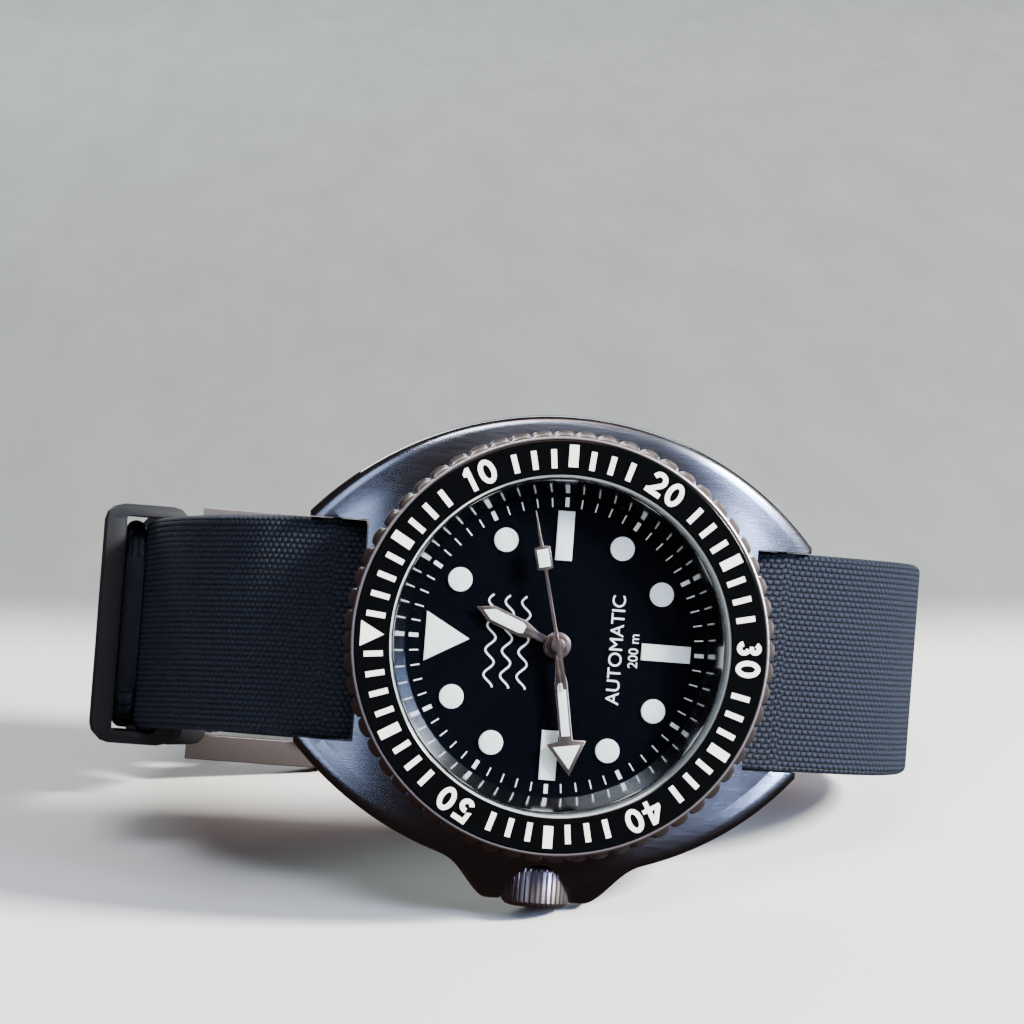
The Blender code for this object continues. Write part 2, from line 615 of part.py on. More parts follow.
# Middle lines of the two strap pieces, as x and z, from the lugs to the buckle.
SHORT_GUIDES = ((-BAR_X, BAR_Z), (-26.8, 1.2), (-32.7, -4.8), (-36.2, -12.6), (-37.3, -21.0),
                (-36.9, -29.5), (-35.0, -37.2), BUCKLE_BAR)
LONG_GUIDES = ((BAR_X, BAR_Z), (26.6, 2.2), (31.6, -1.6), (34.6, -8.5), (35.0, -17.0), (32.6, -25.5),
               (27.4, -32.8), (19.6, -37.8), (9.5, -40.2), (-2.0, -40.9), (-13.0, -40.9),
               (-19.2, -41.3), (-25.3, -44.7), (-30.2, -46.4), (-33.5, -45.1))
LOOP_RADIUS = 1.6
STRAP_GAP = 0.15


def lean(x, z):
    """Sideways sag of the strap: nothing at the lugs and most at the buckle."""
    fall = min(max((BAR_Z - z) / (BAR_Z - BUCKLE_BAR[1]), 0.0), 1.1)
    share = min(max((33.0 - x) / 49.0, 0.0), 1.0)
    return -STRAP_LEAN / 2 * fall * (3 - fall) * share * share * (3 - 2 * share)


def strap_loop(centre, heading, start_gap):
    """Round end of a strap that wraps a bar; heading is the strap's direction as it leaves."""
    return circle(LOOP_RADIUS, 14, centre, heading + start_gap, heading + 360 - start_gap)


def tail_guides():
    """The long strap's tail follows the short strap's outer side from the buckle onwards."""
    short = smooth_path(SHORT_GUIDES, 4)
    apart = STRAP_THICKNESS + STRAP_GAP
    outer = offset(short, -apart)
    return [outer[i] for i in (26, 24, 20, 17, 14)]


def side_piece(name, loops, half_width, finish, at=(0, 0, 0)):
    """Extrude x-z outlines across the strap's width."""
    return flat(name, loops, -half_width, half_width, finish, stand, at=at, turn=(math.pi / 2, 0, 0))


def strap_piece(name, loops):
    """A strap made from its x-z outlines, sagging sideways along its length."""
    made = side_piece(name, loops, STRAP_WIDTH / 2, "strap")
    for vertex in made.data.vertices:
        vertex.co.z -= lean(vertex.co.x / MM, vertex.co.y / MM) * MM


def make_straps():
    half = STRAP_THICKNESS / 2
    gap = math.degrees(math.asin(half / LOOP_RADIUS))
    short = smooth_path(SHORT_GUIDES, 4)
    inner = [p for p in offset(short, half)[2:-2]]
    outer = [p for p in offset(short, -half)[2:-2]]
    first, last = directions(short)[1], directions(short)[-2]
    start = math.degrees(math.atan2(first.y, first.x))
    end = math.degrees(math.atan2(-last.y, -last.x))
    outline = inner[::-1] + strap_loop((-BAR_X, BAR_Z), start, gap) + outer
    outline += strap_loop(BUCKLE_BAR, end, gap)
    strap_piece("strap_12", [outline, circle(0.95, 16, (-BAR_X, BAR_Z)), circle(0.95, 16, BUCKLE_BAR)])
    long = smooth_path(tuple(LONG_GUIDES) + tuple(tail_guides()), 3)
    inner = offset(long, -half)[2:]
    outer = offset(long, half)[2:]
    first = directions(long)[1]
    start = math.degrees(math.atan2(first.y, first.x))
    outline = outer[::-1] + strap_loop((BAR_X, BAR_Z), start, gap) + inner
    strap_piece("strap_6", [outline, circle(0.95, 16, (BAR_X, BAR_Z))])


def make_spring_bars():
    """Bars with thin ends that sit in the lugs and in the buckle's arms."""
    for name, x, z, shoulder, tip in (("spring_bar_12", -BAR_X, BAR_Z, 9.95, 11.5),
                                      ("spring_bar_6", BAR_X, BAR_Z, 9.95, 11.5),
                                      ("buckle_bar", *BUCKLE_BAR, 10.15, 12.0)):
        turned(name, [(0, tip), (0.45, tip), (0.45, shoulder), (0.85, shoulder), (0.85, -shoulder),
                      (0.45, -shoulder), (0.45, -tip), (0, -tip)], "steel", stand,
               at=(x, lean(x, z), z), along='Y', steps=16)


# --- buckle and keepers -----------------------------------------------------------------------

FRAME_ENDS = (-32.9, -16.8)
ARM_INNER = 10.35


def make_buckle():
    """U-shaped frame whose arms hold the bar, and the tang that turns on the bar."""
    bar = (BUCKLE_BAR[0], lean(*BUCKLE_BAR), BUCKLE_BAR[1])
    back, front = FRAME_ENDS[0] - BUCKLE_BAR[0], FRAME_ENDS[1] - BUCKLE_BAR[0]
    half = BUCKLE_WIDTH / 2
    corner, bar_depth, thickness = 2.5, 2.2, 1.2
    centre = (front - corner, half - corner)
    outline = [(back, ARM_INNER), (back, half)] + circle(corner, 5, centre, 90, 0)
    outline += circle(corner, 5, (centre[0], -centre[1]), 0, -90)
    outline += [(back, -half), (back, -ARM_INNER)]
    outline += [(front - bar_depth, -ARM_INNER), (front - bar_depth, ARM_INNER)]
    frame = flat("buckle_frame", [outline], -thickness, thickness, "polished", stand, at=bar)
    cut(frame, rod("buckle_bar_room", 0.55, -12.2, 12.2, None, stand, at=bar, along='Y', steps=12))
    middle = smooth_path(((1.2, -0.9), (2.6, -2.9), (5.4, -3.7), (9.6, -2.9), (14.0, -1.85)), 4)
    half_thick = 0.5
    blade = offset(middle, half_thick)[::-1] + offset(middle, -half_thick)
    tang = side_piece("buckle_tang", [circle(1.5, 24), circle(0.95, 16)], 0.9, "polished", bar)
    fuse(tang, side_piece("tang_blade", [blade], 0.75, None, bar))


def room_along(name, path, index, length, half_width, thick):
    """A box cutter through a strap at one point of its middle line."""
    heading = directions(path)[index]
    x, z = path[index]
    cutter = box(name, (-length / 2, -half_width, -thick), (length / 2, half_width, thick), None, stand)
    cutter.location = Vector((x, lean(x, z), z)) * MM
    cutter.rotation_euler = (0, -math.atan2(heading.y, heading.x), 0)
    return cutter


def make_keepers():
    """Two rubber loops round both straps: one fixed by the buckle, one free on the left bend."""
    short = smooth_path(SHORT_GUIDES, 4)
    heads = directions(short)
    inside = 2 * STRAP_THICKNESS + STRAP_GAP + 0.7
    clear, end_wall = STRAP_WIDTH / 2 + 0.35, 1.1
    for name, index, length, wall in (("keeper_fixed", 25, 5.0, 1.1), ("keeper_free", 15, 7.0, 1.7)):
        away = Vector((heads[index].y, -heads[index].x))
        middle = Vector(short[index]) + away * (STRAP_THICKNESS + STRAP_GAP) / 2
        loops = [rounded_rectangle(inside / 2 + wall, clear + end_wall, 1.6),
                 rounded_rectangle(inside / 2, clear, 0.6)]
        turn = Matrix(((away.x, 0, -away.y), (0, 1, 0), (away.y, 0, away.x))).to_euler()
        flat(name, loops, -length / 2, length / 2, "rubber", stand,
             at=(middle.x, lean(*middle), middle.y), turn=turn)


# --- resting pose -----------------------------------------------------------------------------

def rest_on_three(groups):
    """Turn the stand so the lowest point of each group touches the floor, centred on the origin."""
    graph = bpy.context.evaluated_depsgraph_get()

    def points(names):
        made = []
        for name in names:
            seen = bpy.data.objects[name].evaluated_get(graph)
            mesh = seen.to_mesh()
            made += [seen.matrix_world @ v.co for v in mesh.vertices]
            seen.to_mesh_clear()
        return made

    clouds = [points(names) for names in groups]
    up = Vector((0.0, 0.95, 0.3)).normalized()
    for _ in range(12):
        low = [min(cloud, key=up.dot) for cloud in clouds]
        up = (low[1] - low[0]).cross(low[2] - low[0]).normalized()
        if up.y < 0:
            up.negate()
    across = (Vector((1, 0, 0)) - up * up.x).normalized()
    turn = Matrix((across, up.cross(across), up))
    stand.rotation_euler = turn.to_euler()
    everything = [turn @ p for p in points([o.name for o in parts.objects if o.type != 'EMPTY'])]
    lows = [min(p[i] for p in everything) for i in range(3)]
    highs = [max(p[i] for p in everything) for i in range(3)]
    stand.location = (-(lows[0] + highs[0]) / 2, -(lows[1] + highs[1]) / 2, -lows[2])


make_case_body()
make_case_back()
make_crystal()
make_bezel()
make_crown()
make_dial_and_hands()
make_train()
make_escapement()
make_plates()
make_rotor()
make_straps()
make_spring_bars()
make_buckle()
make_keepers()
long_path = smooth_path(tuple(LONG_GUIDES) + tuple(tail_guides()), 3)
tang_side = lean(*BUCKLE_BAR)
cut(bpy.data.objects["strap_12"],
    box("tang_notch", (-34.2, tang_side - 1.3, -46.0), (-28.8, tang_side + 1.3, -41.4), None, stand))
cut(bpy.data.objects["strap_6"],
    box("tang_slot", (-32.6, tang_side - 1.3, -48.2), (-27.4, tang_side + 1.3, -43.2), None, stand),
    *[room_along("hole_%d" % i, long_path, i, 1.8, 0.9, 2.0) for i in (27, 30, 43, 46)])
rest_on_three((("crown", "case_body"), ("buckle_frame",), ("strap_6",)))
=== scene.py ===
import json
import math

import bmesh
import bpy
from mathutils import Matrix, Vector


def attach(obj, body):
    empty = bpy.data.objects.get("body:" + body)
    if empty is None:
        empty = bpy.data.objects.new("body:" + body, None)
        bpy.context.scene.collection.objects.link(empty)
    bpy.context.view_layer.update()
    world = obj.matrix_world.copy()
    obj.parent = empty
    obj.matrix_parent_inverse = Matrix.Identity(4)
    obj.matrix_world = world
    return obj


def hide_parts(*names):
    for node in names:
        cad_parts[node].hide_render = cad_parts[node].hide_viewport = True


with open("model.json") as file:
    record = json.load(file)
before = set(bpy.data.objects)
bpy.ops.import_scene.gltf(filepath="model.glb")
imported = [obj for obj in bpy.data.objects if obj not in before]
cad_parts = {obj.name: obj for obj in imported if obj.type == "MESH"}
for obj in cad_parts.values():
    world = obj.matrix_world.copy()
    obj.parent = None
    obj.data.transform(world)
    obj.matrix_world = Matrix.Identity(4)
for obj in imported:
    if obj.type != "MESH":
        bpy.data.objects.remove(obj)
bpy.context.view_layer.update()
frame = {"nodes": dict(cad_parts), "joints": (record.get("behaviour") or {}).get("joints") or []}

# --- Case: one forged and machined middle of 316L stainless steel -------------------------------
# The top is brushed, the edges are rounded and polished, and the crown guard grows out of the
# side at 9 o'clock.  Everything on the watch is laid out from the dial's axis, in millimetres,
# with X to 6 o'clock, Y to 3 o'clock and Z out of the dial.
joints = {joint["name"]: joint for joint in frame["joints"]}
out_of_dial = Vector(joints["bezel_turn"]["axis"]).normalized()
to_three = -Vector(joints["crown_turn"]["axis"]).normalized()
to_six = to_three.cross(out_of_dial)
watch = Matrix((to_six, to_three, out_of_dial)).transposed().to_4x4()
watch.translation = Vector(joints["bezel_turn"]["pos_m"])
in_mm = watch @ Matrix.Scale(0.001, 4)


def colour(text):
    """An sRGB hex colour as linear red, green, blue and alpha."""
    parts = [int(text[i:i + 2], 16) / 255 for i in (1, 3, 5)]
    linear = [p / 12.92 if p <= 0.04045 else ((p + 0.055) / 1.055) ** 2.4 for p in parts]
    return (*linear, 1.0)


def add_node(tree, kind, settings=None, links=None):
    """Add a node; settings are attributes or input values, links are input name to socket."""
    made = tree.nodes.new(kind)
    for key, value in (settings or {}).items():
        if isinstance(key, str) and hasattr(made, key):
            setattr(made, key, value)
        else:
            made.inputs[key].default_value = value
    for key, socket in (links or {}).items():
        tree.links.new(socket, made.inputs[key])
    return made


def new_material(name, settings):
    """A material with a Principled BSDF: returns the material, its tree and the shader."""
    made = bpy.data.materials.new(name)
    made.use_nodes = True
    shader = made.node_tree.nodes["Principled BSDF"]
    for key, value in settings.items():
        shader.inputs[key].default_value = value
    return made, made.node_tree, shader


def watch_coordinates(tree):
    """Object coordinates turned and centred on the dial's axis, in millimetres."""
    place = add_node(tree, "ShaderNodeTexCoord")
    return add_node(tree, "ShaderNodeMapping",
                    {"vector_type": 'TEXTURE', "Location": watch.translation,
                     "Rotation": watch.to_euler(), "Scale": (0.001, 0.001, 0.001)},
                    {"Vector": place.outputs["Object"]}).outputs["Vector"]


def uneven(tree, shader, scale, detail, rough=(), tones=(), relief=(), vector=None):
    """One noise that varies the roughness, the colour between two tones, and a fine relief."""
    noise = add_node(tree, "ShaderNodeTexNoise", {"Scale": scale, "Detail": detail},
                     {"Vector": vector or watch_coordinates(tree)}).outputs["Fac"]
    if rough:
        spread = add_node(tree, "ShaderNodeMapRange", {"To Min": rough[0], "To Max": rough[1]},
                          {"Value": noise})
        tree.links.new(spread.outputs["Result"], shader.inputs["Roughness"])
    if tones:
        shades = add_node(tree, "ShaderNodeValToRGB", {}, {"Fac": noise})
        for stop, tone in zip(shades.color_ramp.elements, tones):
            stop.color = colour(tone)
        tree.links.new(shades.outputs["Color"], shader.inputs["Base Color"])
    if relief:
        bumps = add_node(tree, "ShaderNodeBump", {"Strength": relief[0], "Distance": relief[1]},
                         {"Height": noise})
        tree.links.new(bumps.outputs["Normal"], shader.inputs["Normal"])


def in_scene(name, data):
    """A new object in the scene, at the origin."""
    made = bpy.data.objects.new(name, data)
    bpy.context.scene.collection.objects.link(made)
    return made


def mesh_from(blank):
    """The finished mesh of a working object, which is then thrown away."""
    seen = blank.evaluated_get(bpy.context.evaluated_depsgraph_get())
    made = bpy.data.meshes.new_from_object(seen)
    bpy.data.objects.remove(blank)
    return made


def finish_piece(name, mesh, body, materials, nodes=(), sharp=32.0):
    """Place a mesh made in millimetres on the watch and let it ride on its body."""
    mesh.transform(in_mm)
    mesh.shade_smooth()
    mesh.set_sharp_from_angle(angle=math.radians(sharp))
    for each in materials:
        mesh.materials.append(each)
    made = in_scene(name, mesh)
    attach(made, body)
    if nodes:
        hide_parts(*nodes)


def mesh_of(shape, name):
    """Close a bmesh and return it as a mesh with its faces pointing out."""
    bmesh.ops.remove_doubles(shape, verts=shape.verts, dist=1e-5)
    bmesh.ops.recalc_face_normals(shape, faces=shape.faces)
    mesh = bpy.data.meshes.new(name)
    shape.to_mesh(mesh)
    shape.free()
    return mesh


def skin(shape, rings, closed=False):
    """Join each ring of points to the next, and the last to the first if it is closed."""
    following = rings[1:] + rings[:1] if closed else rings[1:]
    for upper, lower in zip(rings, following):
        for i in range(len(upper)):
            k = (i + 1) % len(upper)
            corners = []
            for corner in (upper[i], upper[k], lower[k], lower[i]):
                if corner not in corners:
                    corners.append(corner)
            if len(corners) > 2:
                shape.faces.new(corners)


def turn_profile(profile, steps, closed=False):
    """Turn (radius, height) points round the dial's axis."""
    shape = bmesh.new()
    angles = [2 * math.pi * i / steps for i in range(steps)]
    rings = []
    for r, z in profile:
        if r < 1e-6:
            rings.append([shape.verts.new((0, 0, z))] * steps)
        else:
            rings.append([shape.verts.new((r * math.cos(a), r * math.sin(a), z)) for a in angles])
    skin(shape, rings, closed)
    return shape


def cut_away(mesh, cutters, operation='DIFFERENCE'):
    """Cut meshes out of a mesh, or join them to it."""
    blank = in_scene("blank", mesh)
    tools = [in_scene("tool", cutter) for cutter in cutters]
    for tool in tools:
        step = blank.modifiers.new("cut", 'BOOLEAN')
        step.operation = operation
        step.object = tool
        step.solver = 'EXACT'
    made = mesh_from(blank)
    for tool in tools:
        bpy.data.objects.remove(tool)
    return made


def block(low, high, place=None):
    """A box between two corners, in millimetres, moved by a matrix."""
    shape = bmesh.new()
    bmesh.ops.create_cube(shape, size=1.0)
    size = Vector(high) - Vector(low)
    bmesh.ops.scale(shape, vec=size, verts=shape.verts)
    bmesh.ops.translate(shape, vec=(Vector(high) + Vector(low)) / 2, verts=shape.verts)
    mesh = mesh_of(shape, "block")
    if place:
        mesh.transform(place)
    return mesh


def bar_mesh(radius, length, place, steps=48):
    """A round bar along Z from 0 to its length, moved by a matrix."""
    mesh = mesh_of(turn_profile([(0, length), (radius, length), (radius, 0), (0, 0)], steps), "bar")
    mesh.transform(place)
    return mesh


case_arc, case_half_width = 31.0, 20.8
lug_reach, guard_reach = 23.0, 23.4
case_low, case_high = 1.0, 9.0
crown_height = 5.0
bar_place = (20.5, 3.6)
towards_nine = Matrix.Rotation(math.pi / 2, 4, 'X')


def flank(x):
    return math.sqrt(case_arc ** 2 - x * x) - (case_arc - case_half_width)


def guard_share(x):
    """How far the crown guard stands out at x, from 0 to 1."""
    share = min(max((10.0 - abs(x)) / 5.6, 0.0), 1.0)
    return (share * share * (3 - 2 * share)) ** 2


def guarded_flank(x):
    return flank(x) + (guard_reach - flank(x)) * guard_share(x)


def top_height(x, y):
    """The top falls towards the lug tips, and rounds down over the crown guard."""
    fall = 3.0 * (max(abs(x) - 8.0, 0.0) / 15.0) ** 2
    down = 0.28 * max(-y - 18.2, 0.0) ** 1.5 * guard_share(x) ** 0.5
    return case_high - max(fall, down)


def under_height(x, y):
    rise = 0.6 * (max(abs(x) - 16.0, 0.0) / 7.0) ** 2
    return case_low + max(rise, 0.7 * max(-y - 20.8, 0.0))


def case_blank():
    """Stacked outlines with rounded edges, closed by a top and a bottom grid."""
    count, inner_rows, guard_rows = 200, 20, 7
    stations = [lug_reach * math.sin(math.pi * (i / count - 0.5)) for i in range(count + 1)]
    edge_top = [(-1.1, 0.0), (-0.62, 0.06), (-0.36, 0.22), (-0.20, 0.48), (-0.10, 0.9), (0.0, 1.6)]
    edge_low = [(0.0, 1.3), (0.12, 0.8), (0.35, 0.3), (0.75, 0.0)]
    levels = [(under_height, lift, inset) for lift, inset in edge_low]
    levels += [(top_height, lift, inset) for lift, inset in edge_top]
    shape = bmesh.new()
    rings = []
    for height, lift, inset in levels:
        squeeze = (lug_reach - inset) / lug_reach
        upper = []
        lower = []
        for x in stations:
            near, far = flank(x) - inset, -(guarded_flank(x) - inset)
            upper.append(shape.verts.new((x * squeeze, near, height(x, near) + lift)))
            lower.append(shape.verts.new((x * squeeze, far, height(x, far) + lift)))
        rings.append((upper, lower))
    skin(shape, [upper + lower[::-1] for upper, lower in rings])
    for (upper, lower), height in ((rings[0], under_height), (rings[-1], top_height)):
        grid = [upper]
        for row in range(1, inner_rows + guard_rows):
            line = []
            for near, far, x in zip(upper, lower, stations):
                knee = max(far.co.y * 0.96, -18.0)
                if row <= inner_rows:
                    y = near.co.y + (knee - near.co.y) * row / inner_rows
                else:
                    y = knee + (far.co.y - knee) * (row - inner_rows) / guard_rows
                line.append(shape.verts.new((near.co.x, y, height(x, y))))
            grid.append(line)
        grid.append(lower)
        for line_a, line_b in zip(grid, grid[1:]):
            for i in range(count):
                shape.faces.new((line_a[i], line_a[i + 1], line_b[i + 1], line_b[i]))
    bmesh.ops.triangulate(shape, faces=shape.faces)
    return mesh_of(shape, "case")


neck = bar_mesh(16.3, 5.75, Matrix.Translation((0, 0, 6.0)), 128)
cavity = mesh_of(turn_profile([(0, 13), (15.6, 13), (15.6, 10.4), (15.35, 10.4), (15.35, 7.92),
                               (14.45, 7.92), (14.45, 2.45), (17.2, 2.45), (17.2, 0), (0, 0)], 128),
                 "cavity")
gap_half, gap_start, gap_end = 10.07, 17.75, 26
lug_gaps = [block((low, -gap_half, -1), (high, gap_half, 12))
            for low, high in ((-gap_end, -gap_start), (gap_start, gap_end))]
crown_room = bar_mesh(3.4, 6.0, Matrix.Translation((0, -19.9, crown_height)) @ towards_nine, 64)
tube_room = bar_mesh(1.27, 8.0, Matrix.Translation((0, -13.0, crown_height)) @ towards_nine, 32)
bar_rooms = [bar_mesh(0.55, 23.4, Matrix.Translation((side * bar_place[0], 11.7, bar_place[1]))
                      @ towards_nine, 24) for side in (-1, 1)]
case_mesh = cut_away(case_blank(), [neck], 'UNION')
case_mesh = cut_away(case_mesh, [cavity, *lug_gaps, crown_room, tube_room, *bar_rooms])

# Brushed 316L: fine parallel scratches along the case stretch the highlights across them.  Its
# bluish grey base colour is partly the steel's own and partly a painted reflection of cool light.
brushed_steel, tree, shader = new_material("brushed stainless steel", {
    "Base Color": colour("#9ba1ae"), "Metallic": 1.0, "Roughness": 0.28, "Anisotropic": 0.35})
place = watch_coordinates(tree)
brush_lines = add_node(tree, "ShaderNodeMapping", {"Scale": (0.35, 14.0, 1.0)}, {"Vector": place})
uneven(tree, shader, 1.0, 3.0, (0.15, 0.29), (), (0.12, 0.00004), brush_lines.outputs["Vector"])

# Polished 316L: nearly a mirror, with the faint unevenness of hand buffing.
polished_steel, tree, shader = new_material("polished stainless steel", {
    "Base Color": colour("#c6c3c6"), "Metallic": 1.0, "Roughness": 0.1})
uneven(tree, shader, 0.9, 4.0, (0.07, 0.17))

# Satin 316L: glass-bead blasted, so that it spreads the light softly.
satin_steel, tree, shader = new_material("satin stainless steel", {
    "Base Color": colour("#bfb6b6"), "Metallic": 1.0, "Roughness": 0.34})
uneven(tree, shader, 14.0, 3.0, (0.28, 0.42), (), (0.1, 0.00003))

for face in case_mesh.polygons:
    face.material_index = 0 if face.normal.z > 0.45 or face.normal.z < -0.9 else 1
finish_piece("case_shell", case_mesh, "watch", [brushed_steel, polished_steel],
             ["case_body"], 30)

# --- Case back, gaskets and small steel pieces: kept from the model ------------------------------
# The screwed back is turned from 316L with a circular brushed finish; the gaskets are black
# nitrile, and the click spring, bars, tube, stem and setting work are turned steel.
# Turned steel: the scratches run round the dial's axis.
turned_steel, tree, shader = new_material("turned stainless steel", {
    "Base Color": colour("#a9adb3"), "Metallic": 1.0, "Roughness": 0.3})
place = watch_coordinates(tree)
split = add_node(tree, "ShaderNodeSeparateXYZ", {}, {"Vector": place})
across = add_node(tree, "ShaderNodeCombineXYZ", {},
                  {"X": split.outputs["X"], "Y": split.outputs["Y"]})
radius = add_node(tree, "ShaderNodeVectorMath", {"operation": 'LENGTH'},
                  {0: across.outputs["Vector"]})
rings = add_node(tree, "ShaderNodeTexNoise",
                 {"noise_dimensions": '1D', "Scale": 9.0, "Detail": 3.0},
                 {"W": radius.outputs["Value"]})
rough = add_node(tree, "ShaderNodeMapRange", {"To Min": 0.2, "To Max": 0.42},
                 {"Value": rings.outputs["Fac"]})
relief = add_node(tree, "ShaderNodeBump", {"Strength": 0.2, "Distance": 0.00005},
                  {"Height": rings.outputs["Fac"]})
tree.links.new(rough.outputs["Result"], shader.inputs["Roughness"])
tree.links.new(relief.outputs["Normal"], shader.inputs["Normal"])

# Moulded black nitrile or polyurethane rubber: satin, with a soft mould grain.
black_rubber, tree, shader = new_material("moulded black rubber", {
    "Base Color": colour("#16181d"), "Roughness": 0.45, "Specular IOR Level": 0.5})
uneven(tree, shader, 6.0, 5.0, (0.36, 0.56), (), (0.08, 0.0001))


def dress(names, material):
    """Give kept model nodes their material."""
    for name in names:
        node = frame["nodes"][name]
        node.data.materials.clear()
        node.data.materials.append(material)


dress(["case_back", "bezel_click_spring", "crown_tube", "spring_bar_12", "spring_bar_6",
       "buckle_bar", "winding_stem", "sliding_pinion", "setting_lever"], turned_steel)
dress(["case_back_gasket", "bezel_gasket", "crown_gasket"], black_rubber)

# --- Movement: kept from the model ---------------------------------------------------------------
# Gilt plate and wheels, nickel-plated bridges with straight stripes, a steel rotor and escapement,
# blued screws and an acetal holder.
# Gilt brass: warm and fairly bright, with a fine grained surface.
gilt_brass, tree, shader = new_material("gilt brass", {
    "Base Color": colour("#c9a35a"), "Metallic": 1.0, "Roughness": 0.28})
uneven(tree, shader, 8.0, 4.0, (0.2, 0.38))
# Striped nickel plate: broad parallel waves cut by a turning disc.
striped_nickel, tree, shader = new_material("striped nickel plate", {
    "Base Color": colour("#c4c2bb"), "Metallic": 1.0, "Roughness": 0.25})
place = watch_coordinates(tree)
stripes = add_node(tree, "ShaderNodeTexWave", {"Scale": 0.35}, {"Vector": place})
rough = add_node(tree, "ShaderNodeMapRange", {"To Min": 0.16, "To Max": 0.36},
                 {"Value": stripes.outputs["Fac"]})
tree.links.new(rough.outputs["Result"], shader.inputs["Roughness"])
# Heat-blued steel: a dark oxide blue that shifts slightly over the screw heads.
blued_steel, tree, shader = new_material("heat blued steel", {
    "Base Color": colour("#26408f"), "Metallic": 1.0, "Roughness": 0.22})
uneven(tree, shader, 2.0, 2.0, (), ("#1d2f78", "#3c5cae"))
# Moulded acetal: off-white and slightly waxy.
acetal, tree, shader = new_material("moulded acetal", {
    "Base Color": colour("#cfd0cb"), "Roughness": 0.5})
uneven(tree, shader, 1.5, 2.0, (0.42, 0.6))
dress(["main_plate", "cannon_pinion", "hour_wheel", "minute_wheel", "mainspring_barrel",
       "great_wheel", "third_wheel", "fourth_wheel", "balance_wheel"], gilt_brass)
dress(["barrel_bridge", "train_bridge", "balance_cock"], striped_nickel)
dress(["hairspring", "rotor_screw", "clamp_screw_1", "clamp_screw_2"], blued_steel)
dress(["rotor", "rotor_bearing", "ratchet_wheel", "crown_wheel", "escape_wheel", "pallet_fork"],
      turned_steel)
dress(["movement_holder", "crystal_gasket"], acetal)

# --- Crystal: flat synthetic sapphire with a bevelled and polished edge ---------------------------
# Clear all through; only its two faces and the bevel catch the light.
sapphire = bpy.data.materials.new("clear synthetic sapphire")
sapphire.use_nodes = True
tree = sapphire.node_tree
tree.nodes.clear()
clear = add_node(tree, "ShaderNodeBsdfTransparent", {"Color": colour("#f4f8fa")})
shine = add_node(tree, "ShaderNodeBsdfGlossy", {"Roughness": 0.02, "Color": colour("#cfdcec")})
edge_on = add_node(tree, "ShaderNodeLayerWeight", {"Blend": 0.5})
rise = add_node(tree, "ShaderNodeMath", {"operation": 'POWER', 1: 4.0},
                {0: edge_on.outputs["Facing"]})
gloss = add_node(tree, "ShaderNodeMath", {"operation": 'MULTIPLY_ADD', 1: 0.55, 2: 0.02},
                 {0: rise.outputs["Value"]})
both = add_node(tree, "ShaderNodeMixShader", {},
                {0: gloss.outputs["Value"], 1: clear.outputs["BSDF"], 2: shine.outputs["BSDF"]})
add_node(tree, "ShaderNodeOutputMaterial", {}, {"Surface": both.outputs["Shader"]})
crystal_mesh = mesh_of(turn_profile([(0, 12.9), (14.75, 12.9), (14.83, 12.88), (15.1, 12.6),
                                     (15.15, 12.5), (15.15, 10.5), (0, 10.5)], 192), "crystal")
finish_piece("crystal_disc", crystal_mesh, "watch", [sapphire], ["crystal"], 20)

# --- Inner ring: polished steel ring between the dial and the crystal -----------------------------
# Its slope mirrors the minute track and the lume plots.
ring_mesh = mesh_of(turn_profile([(14.95, 10.4), (15.28, 10.4), (15.28, 7.98), (13.8, 7.98),
                                  (13.75, 8.06), (13.82, 8.3), (14.88, 10.25), (14.92, 10.36)], 192,
                                 True), "ring")
finish_piece("inner_ring", ring_mesh, "watch", [polished_steel],
             ["rehaut_ring"], 40)

# --- Bezel ring: turned steel with sixty rounded grip bumps ---------------------------------------
# Each bump is milled and then the whole ring is polished.
def bezel_blank():
    bumps, fine = 60, 12
    count = bumps * fine
    shape = bmesh.new()
    outline = []
    for j in range(count):
        share = (j % fine) / fine
        bulge = math.sqrt(max(1 - (2 * share - 1) ** 2, 0.0)) ** 0.8
        outline.append(18.8 + 0.65 * bulge)
    section = [(18.55, 12.35, 0.0), (18.68, 12.38, 0.0), (18.8, 12.32, 0.0), (18.95, 12.1, 0.25),
               (19.1, 11.85, 0.6), (19.25, 11.65, 0.9), (19.4, 11.5, 1.0), (19.4, 9.85, 1.0),
               (19.2, 9.6, 0.7), (18.9, 9.35, 0.2), (18.4, 9.25, 0.0), (18.05, 9.25, 0.0),
               (18.05, 9.8, 0.0), (16.95, 9.8, 0.0), (16.95, 10.95, 0.0), (16.45, 10.95, 0.0),
               (16.45, 11.8, 0.0), (18.55, 11.8, 0.0)]
    rings = []
    for r, z, bumpy in section:
        ring = []
        for j, rim in enumerate(outline):
            a = 2 * math.pi * j / count
            here = r + (rim - 19.45) * bumpy if bumpy else r
            here = min(here, 19.45)
            ring.append(shape.verts.new((here * math.cos(a), here * math.sin(a), z)))
        rings.append(ring)
    skin(shape, rings, True)
    return mesh_of(shape, "bezel")


finish_piece("bezel_grip", bezel_blank(), "bezel", [satin_steel],
             ["bezel_ring"], 40)

# --- Bezel insert: anodised aluminium ring with printed minute scale ------------------------------
# Glossy black, with a triangle at zero, numerals every ten minutes and a tick for most minutes.
# Black anodised aluminium under clear lacquer: deep and glossy with the faintest grain.
black_anodised, tree, shader = new_material("black anodised aluminium", {
    "Base Color": colour("#040506"), "Roughness": 0.12, "Specular IOR Level": 0.3})
uneven(tree, shader, 12.0, 3.0, (0.09, 0.17))
insert_mesh = mesh_of(turn_profile([(15.35, 12.46), (15.42, 12.5), (18.38, 12.5), (18.47, 12.45),
                                    (18.5, 12.35), (18.5, 11.88), (15.35, 11.88)], 192, True),
                      "insert")
finish_piece("insert_ring", insert_mesh, "bezel", [black_anodised],
             ["bezel_insert"], 25)

